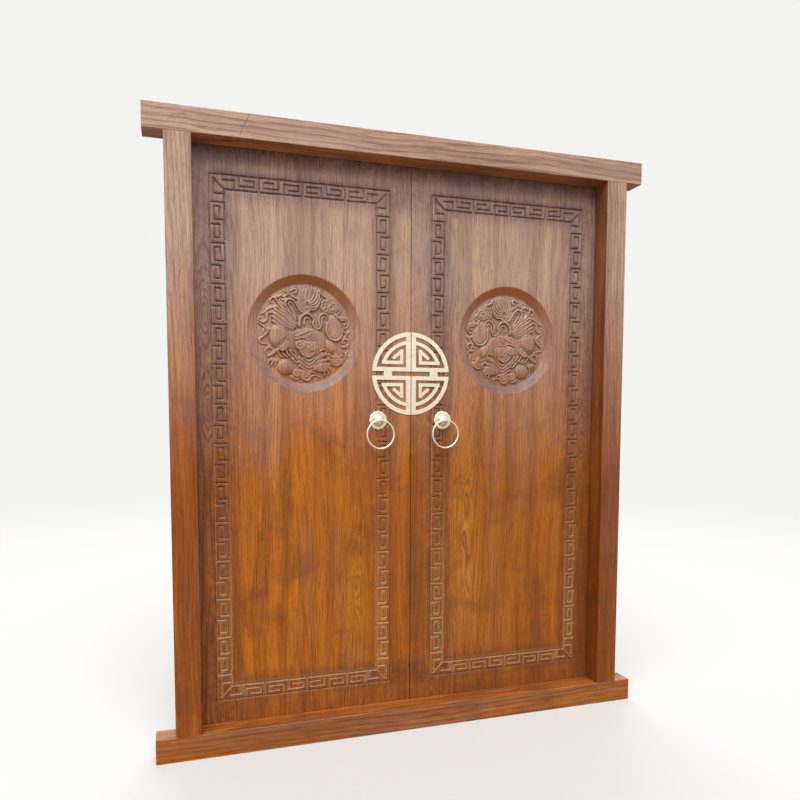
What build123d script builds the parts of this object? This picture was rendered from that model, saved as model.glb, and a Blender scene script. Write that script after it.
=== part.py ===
from build123d import *
from math import asin, degrees
import os

os.makedirs("parts", exist_ok=True)

# Carved double door of old elm with its frame, in millimetres.
# +Z is up and +Y runs through the doorway, from the street side to the court side.
# The origin is the middle of the threshold's underside.

# Frame: two posts between a head beam and a threshold that run past them as horns
clear_width = 1674
clear_height = 2122
frame_depth = 75
post_width = 93
horn_length = 70
head_height = 88
threshold_height = 90
arris = 2
tenon_width = 60
tenon_thickness = 30
tenon_length = 55
frame_peg_width = 12
frame_peg_spacing = 30
frame_peg_cover = 13

# Leaves: edge-joined planks that lap behind the frame and turn on wooden pivots
leaf_thickness = 45
leaf_gap = 2
meeting_gap = 3
side_lap = 44
top_lap = 15
bottom_lap = 15
plank_seams = (205, 395, 560, 712)
leaf_arris = 1.5

# Pivots: a round tenon at the top, an iron shoe in an iron cup at the bottom
top_pivot_diameter = 38
top_pivot_clearance = 0.08
top_pivot_length = 34
top_socket_headroom = 32
foot_tenon_width = 22
shoe_diameter = 38
shoe_floor = 4
shoe_height = 30
cup_clearance = 0.05
cup_end_play = 0.3
cup_width = 46
cup_floor = 8

# Timbers behind the frame that hold the pivots
hinge_beam_depth = 85
hinge_beam_end = 70
hinge_beam_gap = 4
hinge_beam_arris = 8
hinge_peg_width = 18
hinge_peg_places = (250, 650)
hinge_peg_cover = 22
block_width = 140
block_depth = 95
block_gap = 4
block_arris = 6
block_peg_width = 14
block_peg_spacing = 96
block_peg_height = 22
block_peg_cover = 27

# Battens that slide into dovetailed grooves across the back of each leaf
lower_batten_level = 330
middle_batten_level = 1010
upper_batten_drop = 277
batten_height = 60
batten_depth = 22
batten_arris = 5
dovetail_depth = 8
dovetail_neck = 48
batten_meeting_inset = 20
batten_pivot_inset = 50

# Wooden bolt behind the leaves
bolt_level = 1110
bolt_height = 50
bolt_depth = 32
bolt_length = 400
bolt_tip_inset = 25
bolt_travel = 110
bolt_play = 0.5
keeper_play = 2
bracket_width = 40
bracket_height = 112
bracket_cover = 16
bracket_arris = 6
bracket_places = (75, 330)
keeper_place = 78
bolt_knob_diameter = 16
bolt_knob_length = 26
bolt_knob_clearance = 3

# Fret border: one channel round the panel, square spirals and dividers inside it
fret_meeting_side = 89
fret_pivot_side = 775
fret_bottom_margin = 101
fret_top_margin = 113
fret_band = 52.5
groove_width = 6
groove_depth = 4
hook_outer_level = 16
hook_inner_level = 36
side_hook_length = 47
end_hook_length = 56
fret_period = 145
divider_to_hook = 15
hook_to_hook = 17
corner_hook_length = 41
side_corner_inset = 16
end_corner_inset = 37
mitre_start = 14
end_pair_span = 164

# Medallion: a dished hollow with a round carved field on its floor
medallion_place = 427
medallion_drop = 670
dish_radius = 220
field_radius = 186
dish_depth = 17

# Relief of the medallion on the left leaf: how far each form rises from the floor of the dish,
# and its corners from the middle of the medallion
relief_forms = {
    "body": (6, (
        (-133, -10), (-129, 13), (-116, 26), (-83, 16), (-46, 10), (-26, 13), (-3, 30), (20, 56),
        (37, 50), (45, 23), (67, 13), (82, -10), (114, -28), (124, -44), (127, -67), (114, -78),
        (94, -72), (77, -59), (60, -74), (34, -90), (0, -91), (-20, -78), (-46, -67), (-66, -57),
        (-86, -51), (-106, -54), (-126, -44),
    )),
    "near shoulder": (11, (
        (-132, 10), (-120, 26), (-93, 23), (-70, 13), (-61, -4), (-66, -24), (-83, -38), (-100, -43),
        (-109, -53), (-122, -48), (-130, -34), (-134, -10),
    )),
    "foreleg": (9, (
        (-63, -24), (-52, -40), (-60, -58), (-83, -69), (-101, -68), (-123, -85), (-143, -92),
        (-146, -85), (-126, -67), (-103, -52), (-90, -40),
    )),
    "head": (13, (
        (-33, -10), (-20, 3), (7, 13), (34, 16), (54, 3), (64, -20), (62, -47), (50, -67), (34, -84),
        (14, -90), (-6, -84), (-20, -68), (-36, -58), (-42, -37),
    )),
    "mane": (9, (
        (-123, 56), (-118, 76), (-100, 96), (-101, 113), (-110, 133), (-96, 120), (-83, 100),
        (-65, 86), (-46, 66), (-29, 46), (-29, 26), (-46, 11), (-73, 13), (-96, 21), (-115, 28),
        (-122, 43),
    )),
    "fan": (7, (
        (-33, 113), (-26, 143), (-13, 166), (7, 176), (30, 178), (50, 172), (62, 153), (62, 126),
        (55, 108), (40, 96), (22, 89), (5, 80), (-13, 84), (-26, 99),
    )),
    "tail": (8, (
        (114, 76), (130, 63), (144, 43), (152, 20), (152, -4), (137, -20), (114, -24), (95, -15),
        (84, 3), (89, 26), (97, 46), (104, 66),
    )),
    "far shoulder": (10, (
        (76, -24), (97, -20), (114, -30), (121, -47), (117, -68), (104, -74), (87, -61), (78, -47),
    )),
    "cloud": (5, (
        (62, 113), (69, 128), (84, 134), (102, 128), (120, 124), (130, 110), (121, 92), (104, 82),
        (85, 83), (72, 96),
    )),
    "hind paw": (7, (
        (44, -110), (67, -104), (87, -110), (98, -124), (95, -141), (84, -149), (64, -144), (47, -141),
        (30, -140), (30, -127),
    )),
    "wave": (5, (
        (94, -90), (114, -76), (134, -85), (155, -89), (151, -104), (134, -116), (117, -119),
        (100, -111),
    )),
    "lower curl": (5, (
        (-17, -140), (0, -130), (29, -140), (22, -159), (11, -169), (-3, -171), (-16, -159),
    )),
}
ball_place = (-71, -124)
ball_radius = 30
ball_sides = 12
ball_rise = 9

# Round brass plate with the longevity figure, split between the leaves
plate_level = 1414
plate_radius = 162.5
plate_thickness = 2.5
plate_rim = 16.5
plate_seam_bar = 21
plate_cross_bar = 16
plate_slot = 18
plate_bridge_place = 97
plate_bridge_width = 34
plate_second_radius = 129.5
plate_second_band = 14
plate_hook_gap = 12
plate_hook_band = 13
plate_hook_height = 58
plate_tail_run = 32
plate_tail_drop = 26

# Ring pulls: a scalloped rose with a domed boss, an eye and a ring
pull_place = 137
pull_level = 1230
rose_radius = 37.5
rose_petals = 12
rose_petal_radius = 10
petal_sides = 8
rose_thickness = 3
dome_radius = 24
dome_flutes = 24
dome_height = 16.5
# Each bevel of the dome: how far it comes in and how far it drops
dome_bevels = ((5, 12), (7, 5))
eye_radius = 11
eye_hole_radius = 5.3
eye_sides = 12
eye_hole_sides = 16
eye_width = 6
shank_width = 5
shank_clearance = 0.1
washer_width = 26
washer_thickness = 2
rivet_width = 10
rivet_height = 2.5
ring_radius = 55
ring_bar = 7
ring_sides = 40

# Places that follow from the sizes above
frame_back = frame_depth / 2
head_bottom = threshold_height + clear_height
frame_top = head_bottom + head_height
post_place = clear_width / 2 + post_width / 2
beam_length = clear_width + 2 * post_width + 2 * horn_length
leaf_front = frame_back + leaf_gap
leaf_back = leaf_front + leaf_thickness
leaf_middle = leaf_front + leaf_thickness / 2
leaf_edge = clear_width / 2 + side_lap
leaf_bottom = threshold_height - bottom_lap
leaf_top = head_bottom + top_lap
meeting_edge = meeting_gap / 2
pivot_place = leaf_edge - leaf_thickness / 2
shoe_bottom = leaf_bottom - shoe_height
cup_top = leaf_bottom - block_gap
cup_floor_level = shoe_bottom - cup_end_play
hinge_beam_bottom = leaf_top + hinge_beam_gap
batten_levels = (lower_batten_level, middle_batten_level, leaf_top - upper_batten_drop)
fret_bottom = leaf_bottom + fret_bottom_margin
fret_top = leaf_top - fret_top_margin
medallion_level = leaf_top - medallion_drop
fret_centre = (fret_meeting_side + fret_pivot_side) / 2
fret_width = fret_pivot_side - fret_meeting_side
fret_height = fret_top - fret_bottom
fret_level = (fret_top + fret_bottom) / 2
rose_height = rose_thickness + dome_height
eye_centre = leaf_front - rose_height - eye_radius
ring_turn = 180 / ring_sides
bridge_end = bracket_places[0] + bracket_width / 2
bolt_knob_place = bridge_end + bolt_travel + bolt_knob_clearance + bolt_knob_diameter / 2

front_face = Plane(origin=(0, leaf_front, 0), x_dir=(1, 0, 0), z_dir=(0, -1, 0))
dish_floor = Plane(
    origin=(-medallion_place, leaf_front + dish_depth, medallion_level),
    x_dir=(1, 0, 0),
    z_dir=(0, -1, 0),
)
rear_face = Plane(origin=(0, leaf_back, 0), x_dir=(-1, 0, 0), z_dir=(0, 1, 0))


def save(part, name):
    """Label one finished piece and write it out."""
    part.label = name
    export_step(part, f"parts/{name}.step")


def save_pair(part, name):
    """Write a piece for the left leaf and its mirror image for the right leaf."""
    save(part, f"left_{name}")
    save(mirror(part, about=Plane.YZ), f"right_{name}")


def peg_spots(places, level):
    """Peg places on both sides of the middle, on a plane that looks along +Y."""
    return [(side * place, level) for side in (-1, 1) for place in places]


# Frame joints: the same tenons, mortises and pegs are used at all four corners
post_peg_places = [post_place + step * frame_peg_spacing / 2 for step in (-1, 1)]
joint_levels = (threshold_height - tenon_length / 2, head_bottom + tenon_length / 2)
back_plane = Plane(origin=(0, frame_back, 0), x_dir=(1, 0, 0), z_dir=(0, -1, 0))
frame_peg_length = frame_depth - frame_peg_cover

with BuildPart() as frame_pegs:
    for level in joint_levels:
        with BuildSketch(back_plane):
            with Locations(*peg_spots(post_peg_places, level)):
                Rectangle(frame_peg_width, frame_peg_width)
    extrude(amount=frame_peg_length)

with BuildPart() as hinge_beam_pegs:
    with BuildSketch(back_plane.offset(-hinge_beam_depth)):
        with Locations(*peg_spots(hinge_peg_places, (hinge_beam_bottom + frame_top) / 2)):
            Rectangle(hinge_peg_width, hinge_peg_width)
    extrude(amount=hinge_beam_depth + frame_depth - hinge_peg_cover)

block_peg_places = [pivot_place + step * block_peg_spacing / 2 for step in (-1, 1)]
with BuildPart() as block_pegs:
    with BuildSketch(back_plane.offset(-block_depth)):
        with Locations(*peg_spots(block_peg_places, block_peg_height)):
            Rectangle(block_peg_width, block_peg_width)
    extrude(amount=block_depth + frame_depth - block_peg_cover)


def beam(height, bottom):
    """A long frame timber with eased edges."""
    with BuildPart() as timber:
        with Locations((0, 0, bottom + height / 2)):
            Box(beam_length, frame_depth, height)
        chamfer(timber.edges().filter_by(Axis.X), arris)
    return timber.part


with BuildPart() as left_post:
    with Locations((-post_place, 0, threshold_height + clear_height / 2)):
        Box(post_width, frame_depth, clear_height)
    chamfer(left_post.edges().filter_by(Axis.Z), arris)
    with BuildSketch(Plane.XY.offset(threshold_height - tenon_length)):
        with Locations((-post_place, 0)):
            Rectangle(tenon_width, tenon_thickness)
    extrude(amount=clear_height + 2 * tenon_length)
    add(frame_pegs.part, mode=Mode.SUBTRACT)

with BuildPart() as post_tenons:
    with BuildSketch(Plane.XY.offset(threshold_height - tenon_length)):
        with Locations((-post_place, 0), (post_place, 0)):
            Rectangle(tenon_width, tenon_thickness)
    extrude(amount=clear_height + 2 * tenon_length)

with BuildPart() as head_beam:
    add(beam(head_height, head_bottom))
    add(post_tenons.part, mode=Mode.SUBTRACT)
    add(frame_pegs.part, mode=Mode.SUBTRACT)
    add(hinge_beam_pegs.part, mode=Mode.SUBTRACT)

with BuildPart() as threshold:
    add(beam(threshold_height, 0))
    add(post_tenons.part, mode=Mode.SUBTRACT)
    add(frame_pegs.part, mode=Mode.SUBTRACT)
    add(block_pegs.part, mode=Mode.SUBTRACT)

# Hinge beam: one timber behind the head beam with a socket for each top pivot
with BuildPart() as hinge_beam:
    with BuildSketch(Plane.XY.offset(hinge_beam_bottom)):
        with Locations((0, frame_back + hinge_beam_depth / 2)):
            Rectangle(2 * (pivot_place + hinge_beam_end), hinge_beam_depth)
    extrude(amount=frame_top - hinge_beam_bottom)
    chamfer(hinge_beam.edges().filter_by(Axis.X).group_by(Axis.Y)[-1], hinge_beam_arris)
    with BuildSketch(Plane.XY.offset(hinge_beam_bottom)):
        with Locations((-pivot_place, leaf_middle), (pivot_place, leaf_middle)):
            Circle(top_pivot_diameter / 2 + top_pivot_clearance)
    extrude(amount=top_pivot_length - hinge_beam_gap + top_socket_headroom, mode=Mode.SUBTRACT)
    add(hinge_beam_pegs.part, mode=Mode.SUBTRACT)

# Pivot block: stands behind the threshold and holds the iron cup of the bottom pivot
with BuildPart() as left_pivot_block:
    with BuildSketch():
        with Locations((-pivot_place, frame_back + block_depth / 2)):
            Rectangle(block_width, block_depth)
    extrude(amount=cup_top)
    top_rim = left_pivot_block.faces().sort_by(Axis.Z)[-1].edges().sort_by(Axis.Y)[1:]
    chamfer(top_rim, block_arris)
    with BuildSketch(Plane.XY.offset(cup_floor_level - cup_floor)):
        with Locations((-pivot_place, leaf_middle)):
            Rectangle(cup_width, cup_width)
    extrude(amount=cup_top - cup_floor_level + cup_floor, mode=Mode.SUBTRACT)
    add(block_pegs.part, mode=Mode.SUBTRACT)

with BuildPart() as socket_cups:
    with BuildSketch(Plane.XY.offset(cup_floor_level - cup_floor)):
        with Locations((-pivot_place, leaf_middle), (pivot_place, leaf_middle)):
            Rectangle(cup_width, cup_width)
    extrude(amount=cup_top - cup_floor_level + cup_floor)
    with BuildSketch(Plane.XY.offset(cup_floor_level)):
        with Locations((-pivot_place, leaf_middle), (pivot_place, leaf_middle)):
            Circle(shoe_diameter / 2 + cup_clearance)
    extrude(amount=cup_top - cup_floor_level, mode=Mode.SUBTRACT)

with BuildPart() as left_pivot_shoe:
    with BuildSketch(Plane.XY.offset(shoe_bottom)):
        with Locations((-pivot_place, leaf_middle)):
            Circle(shoe_diameter / 2)
    extrude(amount=shoe_height)
    with BuildSketch(Plane.XY.offset(shoe_bottom + shoe_floor)):
        with Locations((-pivot_place, leaf_middle)):
            Rectangle(foot_tenon_width, foot_tenon_width)
    extrude(amount=shoe_height - shoe_floor, mode=Mode.SUBTRACT)

# Channels of the fret, each a run of straight cuts given by its corner points.
# u runs along the border, v from the outer channel towards the middle of the leaf.


def hook_from_inner(start, length):
    """Square hook that leaves the inner line; a negative length runs the other way."""
    return [
        (start, fret_band),
        (start, hook_outer_level),
        (start + length, hook_outer_level),
        (start + length, hook_inner_level),
    ]


def hook_from_outer(start, length):
    """The same hook, leaving the outer channel."""
    return [(u, fret_band - v) for u, v in hook_from_inner(start, length)]


def border_lines(run_length, dividers):
    """The inner line of one border and the dividers that cross it to the outer channel."""
    half = run_length / 2 - fret_band
    return [[(-half, fret_band), (half, fret_band)]] + [[(u, 0), (u, fret_band)] for u in dividers]


def side_run():
    """Channels of an upright border: a divider and two hooks, again and again."""
    inner_length = fret_height - 2 * fret_band
    periods = int(inner_length // fret_period)
    dividers = [(step - periods / 2) * fret_period for step in range(periods + 1)]
    channels = border_lines(fret_height, dividers)
    for u in dividers[1:]:
        upper_hook = u - divider_to_hook - side_hook_length
        channels.append(hook_from_inner(upper_hook, side_hook_length))
        channels.append(hook_from_outer(upper_hook - hook_to_hook, -side_hook_length))
    return channels


def end_run():
    """Channels of a level border: hooks in mirrored pairs about the middle."""
    channels = border_lines(fret_width, (-end_pair_span, 0, end_pair_span))
    for way in (-1, 1):
        length = way * end_hook_length
        channels.append(hook_from_inner(way * divider_to_hook + length, -length))
        step = way * hook_to_hook + length
        channels.append(hook_from_outer(way * end_pair_span - step, length))
        channels.append(hook_from_outer(way * end_pair_span + step, -length))
    return channels


def corner_run(run_length, inset):
    """The hook that fills each end of a border beside the mitre."""
    channels = []
    for way in (-1, 1):
        corner = way * (run_length / 2 - fret_band - inset)
        tip = corner + way * corner_hook_length
        channels.append([(corner, fret_band), (corner, hook_outer_level), (tip, hook_outer_level)])
    return channels


def fret_cuts():
    """All cuts of one border as centre, size and angle on the left leaf's front."""
    ends = end_run() + corner_run(fret_width, end_corner_inset)
    sides = side_run() + corner_run(fret_height, side_corner_inset)
    half_width = fret_width / 2
    half_height = fret_height / 2
    channels = []
    for way in (-1, 1):
        channels += [[(u, way * (half_height - v)) for u, v in run] for run in ends]
        channels += [[(way * (half_width - v), u) for u, v in run] for run in sides]
        for rise in (-1, 1):
            channels.append([
                (way * (half_width - mitre_start), rise * (half_height - mitre_start)),
                (way * (half_width - fret_band), rise * (half_height - fret_band)),
            ])
        channels.append([(way * half_width, -half_height), (way * half_width, half_height)])
        channels.append([(-half_width, way * half_height), (half_width, way * half_height)])
    return channels


def cuts_by_size(channels):
    """Straight cuts grouped by length and angle, so that equal cuts are made together."""
    groups = {}
    for points in channels:
        for start, end in zip(points, points[1:]):
            line = Vector(*end) - Vector(*start)
            middle = (Vector(*end) + Vector(*start)) * 0.5
            angle = round(line.get_signed_angle(Vector(1, 0, 0)), 3) % 180
            key = (round(line.length, 3), angle)
            groups.setdefault(key, []).append((middle.X - fret_centre, middle.Y + fret_level))
    return groups


# Leaf: the whole front is carved as one board and then parted at the seams
with BuildPart() as left_board:
    with BuildSketch(Plane.XY.offset(leaf_bottom)):
        with Locations((-(pivot_place + meeting_edge) / 2, leaf_middle)):
            Rectangle(pivot_place - meeting_edge, leaf_thickness)
        with Locations((-pivot_place, leaf_middle)):
            Circle(leaf_thickness / 2)
    extrude(amount=leaf_top - leaf_bottom)
    chamfer(left_board.faces().sort_by(Axis.X)[-1].edges().filter_by(Axis.Z), leaf_arris)
    with BuildSketch(front_face) as fret:
        for (length, angle), places in cuts_by_size(fret_cuts()).items():
            with Locations(*places):
                Rectangle(length + groove_width, groove_width, rotation=angle)
    extrude(amount=-groove_depth, mode=Mode.SUBTRACT)
    with Locations(front_face.location * Location((-medallion_place, medallion_level, -dish_depth / 2))):
        Cone(field_radius, dish_radius, dish_depth, mode=Mode.SUBTRACT)
    for rise, outline in relief_forms.values():
        with BuildSketch(dish_floor):
            with BuildLine():
                Polyline(*outline, close=True)
            make_face()
        extrude(amount=rise)
    with BuildSketch(dish_floor):
        with Locations(ball_place):
            RegularPolygon(ball_radius, ball_sides)
    extrude(amount=ball_rise)

# Round pivots worked on the ends of the outermost plank
with BuildPart() as left_pivots:
    with BuildSketch(Plane.XY.offset(leaf_top)):
        with Locations((-pivot_place, leaf_middle)):
            Circle(top_pivot_diameter / 2)
    extrude(amount=top_pivot_length)
    with BuildSketch(Plane.XY.offset(shoe_bottom + shoe_floor)):
        with Locations((-pivot_place, leaf_middle)):
            Rectangle(foot_tenon_width, foot_tenon_width)
    extrude(amount=shoe_height - shoe_floor)

# Battens and the grooves they slide into from the meeting edge


def dovetail_bar(level, near, far, proud):
    """A bar with a dovetailed root across the back of the left leaf."""
    root = leaf_back - dovetail_depth
    with BuildPart() as bar:
        with BuildSketch(Plane.YZ.offset(-far)):
            with BuildLine():
                Polyline(
                    (root, level - batten_height / 2),
                    (leaf_back, level - dovetail_neck / 2),
                    (leaf_back, level + dovetail_neck / 2),
                    (root, level + batten_height / 2),
                    close=True,
                )
            make_face()
            if proud:
                with Locations((leaf_back + batten_depth / 2, level)):
                    Rectangle(batten_depth, batten_height)
        extrude(amount=far - near)
        if proud:
            rim = bar.faces().sort_by(Axis.Y)[-1].edges()
            chamfer(rim, batten_arris)
    return bar.part


batten_far = pivot_place - batten_pivot_inset
battens = {
    name: dovetail_bar(level, batten_meeting_inset, batten_far, True)
    for name, level in zip(("lower_batten", "middle_batten", "upper_batten"), batten_levels)
}

# Ring pull: the eye's shank runs through the rose and the plank and is riveted behind
pull_spot = (-pull_place, pull_level)
with BuildPart() as left_rose:
    with BuildSketch(front_face):
        with Locations(pull_spot):
            RegularPolygon(rose_radius - rose_petal_radius, rose_petals)
            with PolarLocations(rose_radius - rose_petal_radius, rose_petals):
                RegularPolygon(rose_petal_radius, petal_sides)
    extrude(amount=rose_thickness)
    with BuildSketch(front_face.offset(rose_thickness)):
        with Locations(pull_spot):
            RegularPolygon(dome_radius, dome_flutes)
    extrude(amount=dome_height)
    for inset, drop in dome_bevels:
        crown = left_rose.faces().sort_by(Axis.Y)[0]
        chamfer(crown.edges(), inset, drop, reference=crown)
    with BuildSketch(front_face):
        with Locations(pull_spot):
            Rectangle(shank_width + 2 * shank_clearance, shank_width + 2 * shank_clearance)
    extrude(amount=rose_height, mode=Mode.SUBTRACT)

rivet_back = leaf_back + washer_thickness
with BuildPart() as left_pull_eye:
    with BuildSketch(Plane.YZ.offset(-pull_place - eye_width / 2)):
        with Locations((eye_centre, pull_level)):
            RegularPolygon(eye_radius, eye_sides)
            RegularPolygon(eye_hole_radius, eye_hole_sides, major_radius=False, mode=Mode.SUBTRACT)
    extrude(amount=eye_width)
    with BuildSketch(front_face.offset(leaf_front - rivet_back)):
        with Locations(pull_spot):
            Rectangle(shank_width, shank_width)
    extrude(amount=rivet_back - eye_centre - (eye_radius + eye_hole_radius) / 2)
    with BuildSketch(front_face.offset(leaf_front - rivet_back)):
        with Locations(pull_spot):
            Rectangle(rivet_width, rivet_width)
    extrude(amount=-rivet_height)

with BuildPart() as left_pull_washer:
    with BuildSketch(rear_face):
        with Locations((pull_place, pull_level)):
            Rectangle(washer_width, washer_width)
            Rectangle(shank_width, shank_width, mode=Mode.SUBTRACT)
    extrude(amount=washer_thickness)

with BuildPart() as left_ring:
    with BuildSketch(front_face.offset(leaf_front - eye_centre - ring_bar / 2)):
        with Locations((-pull_place, pull_level - ring_radius)):
            RegularPolygon(ring_radius + ring_bar / 2, ring_sides, major_radius=False, rotation=ring_turn)
            RegularPolygon(
                ring_radius - ring_bar / 2,
                ring_sides,
                major_radius=False,
                rotation=ring_turn,
                mode=Mode.SUBTRACT,
            )
    extrude(amount=ring_bar)

# Half of the brass plate, drawn for the right leaf on the plate's own centre
plate_face = Plane(origin=(0, leaf_front, plate_level), x_dir=(1, 0, 0), z_dir=(0, -1, 0))
slot_half = plate_slot / 2
second_foot = slot_half + plate_cross_bar + plate_hook_gap
hook_side = plate_seam_bar + plate_hook_gap

with BuildSketch() as plate_hook:
    Circle(plate_second_radius)
    Circle(plate_second_radius - plate_second_band, mode=Mode.SUBTRACT)
    with Locations((hook_side, second_foot)):
        Rectangle(
            plate_second_radius - hook_side - plate_hook_band / 2,
            plate_hook_band,
            align=(Align.MIN, Align.MIN),
        )
        Rectangle(plate_hook_band, plate_hook_height, align=(Align.MIN, Align.MIN))
    tail_top = (hook_side + plate_hook_band / 2, second_foot + plate_hook_height - plate_hook_band / 2)
    tail_end = (tail_top[0] + plate_tail_run, tail_top[1] - plate_tail_drop)
    with BuildLine():
        tail = Line(tail_top, tail_end)
    with Locations(tail @ 0.5):
        SlotCenterToCenter(tail.length, plate_hook_band, rotation=tail.tangent_angle_at(0))
    with Locations((0, second_foot)):
        Rectangle(
            2 * plate_second_radius,
            2 * plate_second_radius,
            align=(Align.CENTER, Align.MAX),
            mode=Mode.SUBTRACT,
        )
    with Locations((plate_seam_bar, 0)):
        Rectangle(
            2 * plate_second_radius,
            2 * plate_second_radius,
            align=(Align.MAX, Align.CENTER),
            mode=Mode.SUBTRACT,
        )

with BuildSketch() as plate_rim_quarter:
    Circle(plate_radius)
    Circle(plate_radius - plate_rim, mode=Mode.SUBTRACT)
    with Locations((0, slot_half)):
        Rectangle(plate_seam_bar, plate_radius - plate_rim, align=(Align.MIN, Align.MIN))
        Rectangle(plate_radius - plate_rim, plate_cross_bar, align=(Align.MIN, Align.MIN))
        Rectangle(
            2 * plate_radius,
            2 * plate_radius,
            align=(Align.CENTER, Align.MAX),
            mode=Mode.SUBTRACT,
        )
    with Locations((meeting_edge, 0)):
        Rectangle(
            2 * plate_radius,
            2 * plate_radius,
            align=(Align.MAX, Align.CENTER),
            mode=Mode.SUBTRACT,
        )

with BuildPart() as right_plate:
    with BuildSketch(plate_face):
        add(plate_rim_quarter.sketch)
        add(plate_hook.sketch)
        mirror(about=Plane.XZ)
        with Locations((plate_bridge_place, 0)):
            Rectangle(plate_bridge_width, plate_slot)
    extrude(amount=plate_thickness)

# Planks of the left leaf
plank_edges = (meeting_edge,) + plank_seams + (leaf_edge,)
planks = {}
for number, (near, far) in enumerate(zip(plank_edges, plank_edges[1:]), start=1):
    with BuildPart() as plank:
        add(left_board.part)
        with Locations((-(near + far) / 2, leaf_middle, (leaf_top + leaf_bottom) / 2)):
            Box(far - near, leaf_thickness, leaf_top - leaf_bottom, mode=Mode.INTERSECT)
        for level in batten_levels:
            add(dovetail_bar(level, meeting_edge, batten_far, False), mode=Mode.SUBTRACT)
        if far == leaf_edge:
            add(left_pivots.part)
        if near < pull_place < far:
            with BuildSketch(front_face):
                with Locations(pull_spot):
                    Rectangle(shank_width, shank_width)
            extrude(amount=-leaf_thickness, mode=Mode.SUBTRACT)
    planks[f"plank_{number}"] = plank.part

# Bolt: a bar that slides in two bridges on the left leaf into a third on the right


def bridge(place, play):
    """A wooden bridge on the back of the left leaf with a channel for the bolt."""
    with BuildPart() as block:
        with BuildSketch(Plane.YZ.offset(-place - bracket_width / 2)):
            with Locations((leaf_back, bolt_level)):
                Rectangle(
                    bolt_depth + play + bolt_play + bracket_cover,
                    bracket_height,
                    align=(Align.MIN, Align.CENTER),
                )
        extrude(amount=bracket_width)
        chamfer(block.faces().sort_by(Axis.Y)[-1].edges(), bracket_arris)
        with BuildSketch(Plane.YZ.offset(-place - bracket_width / 2)):
            with Locations((leaf_back, bolt_level)):
                Rectangle(
                    bolt_depth + play + bolt_play,
                    bolt_height + 2 * play,
                    align=(Align.MIN, Align.CENTER),
                )
        extrude(amount=bracket_width, mode=Mode.SUBTRACT)
    return block.part


with BuildPart() as bolt:
    with BuildSketch(Plane.YZ.offset(-bolt_tip_inset - bolt_length)):
        with Locations((leaf_back + bolt_play + bolt_depth / 2, bolt_level)):
            Rectangle(bolt_depth, bolt_height)
    extrude(amount=bolt_length)
    tip = bolt.faces().sort_by(Axis.X)[-1]
    chamfer(tip.edges(), arris)
    with BuildSketch(rear_face.offset(bolt_play + bolt_depth)):
        with Locations((bolt_knob_place, bolt_level)):
            Circle(bolt_knob_diameter / 2)
    extrude(amount=bolt_knob_length)
    chamfer(bolt.faces().sort_by(Axis.Y)[-1].edges(), arris)

# Write the pieces
save(head_beam.part, "head_beam")
save(threshold.part, "threshold")
save_pair(left_post.part, "post")
save(hinge_beam.part, "hinge_beam")
save_pair(left_pivot_block.part, "pivot_block")
save(socket_cups.part, "socket_cups")
save(frame_pegs.part, "frame_pegs")
save(hinge_beam_pegs.part, "hinge_beam_pegs")
save(block_pegs.part, "block_pegs")
for name, plank in planks.items():
    save_pair(plank, name)
for name, batten in battens.items():
    save_pair(batten, name)
save_pair(left_pivot_shoe.part, "pivot_shoe")
save_pair(mirror(right_plate.part, about=Plane.YZ), "plate")
save_pair(left_rose.part, "pull_rose")
save_pair(left_pull_eye.part, "pull_eye")
save_pair(left_pull_washer.part, "pull_washer")
save_pair(left_ring.part, "pull_ring")
for number, place in enumerate(bracket_places, start=1):
    save(bridge(place, bolt_play), f"bolt_bridge_{number}")
save(mirror(bridge(keeper_place, keeper_play), about=Plane.YZ), "bolt_keeper")
save(bolt.part, "bolt")

# How far a ring can lean before its wire meets the leaf
ring_lean = degrees(asin((leaf_front - eye_centre - ring_bar / 2) / (2 * ring_radius)))
print(f"a ring can lean {ring_lean:.1f} degrees towards the leaf")
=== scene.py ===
"""Looks of the carved double door: carved boards, brass pulls, old varnished elm, stage and camera."""

import math

import bmesh
import bpy
import numpy as np
from mathutils import Matrix, Vector


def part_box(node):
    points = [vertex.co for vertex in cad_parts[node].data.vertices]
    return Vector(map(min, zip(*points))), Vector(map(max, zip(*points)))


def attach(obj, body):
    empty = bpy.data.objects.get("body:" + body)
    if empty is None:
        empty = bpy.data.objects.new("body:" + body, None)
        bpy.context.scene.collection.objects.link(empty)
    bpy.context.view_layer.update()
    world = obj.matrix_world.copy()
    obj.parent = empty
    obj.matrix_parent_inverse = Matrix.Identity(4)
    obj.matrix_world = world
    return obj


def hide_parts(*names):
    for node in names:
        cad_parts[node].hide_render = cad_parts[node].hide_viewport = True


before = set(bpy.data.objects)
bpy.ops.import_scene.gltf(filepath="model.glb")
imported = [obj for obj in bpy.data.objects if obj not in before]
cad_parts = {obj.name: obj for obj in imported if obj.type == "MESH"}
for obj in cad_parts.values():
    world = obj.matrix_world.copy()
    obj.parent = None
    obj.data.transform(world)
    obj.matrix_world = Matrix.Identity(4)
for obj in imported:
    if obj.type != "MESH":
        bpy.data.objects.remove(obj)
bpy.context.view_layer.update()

bl_info = {
    "name": "Carved Double Door",
    "version": (1, 0, 0),
    "blender": (4, 5, 0),
    "location": "View3D > Sidebar > Door",
    "description": "Carved elm boards, brass pulls and finishes for a carved double door",
    "category": "Object",
}

MM = 0.001
SIDES = (("left", -1), ("right", 1))

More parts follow.
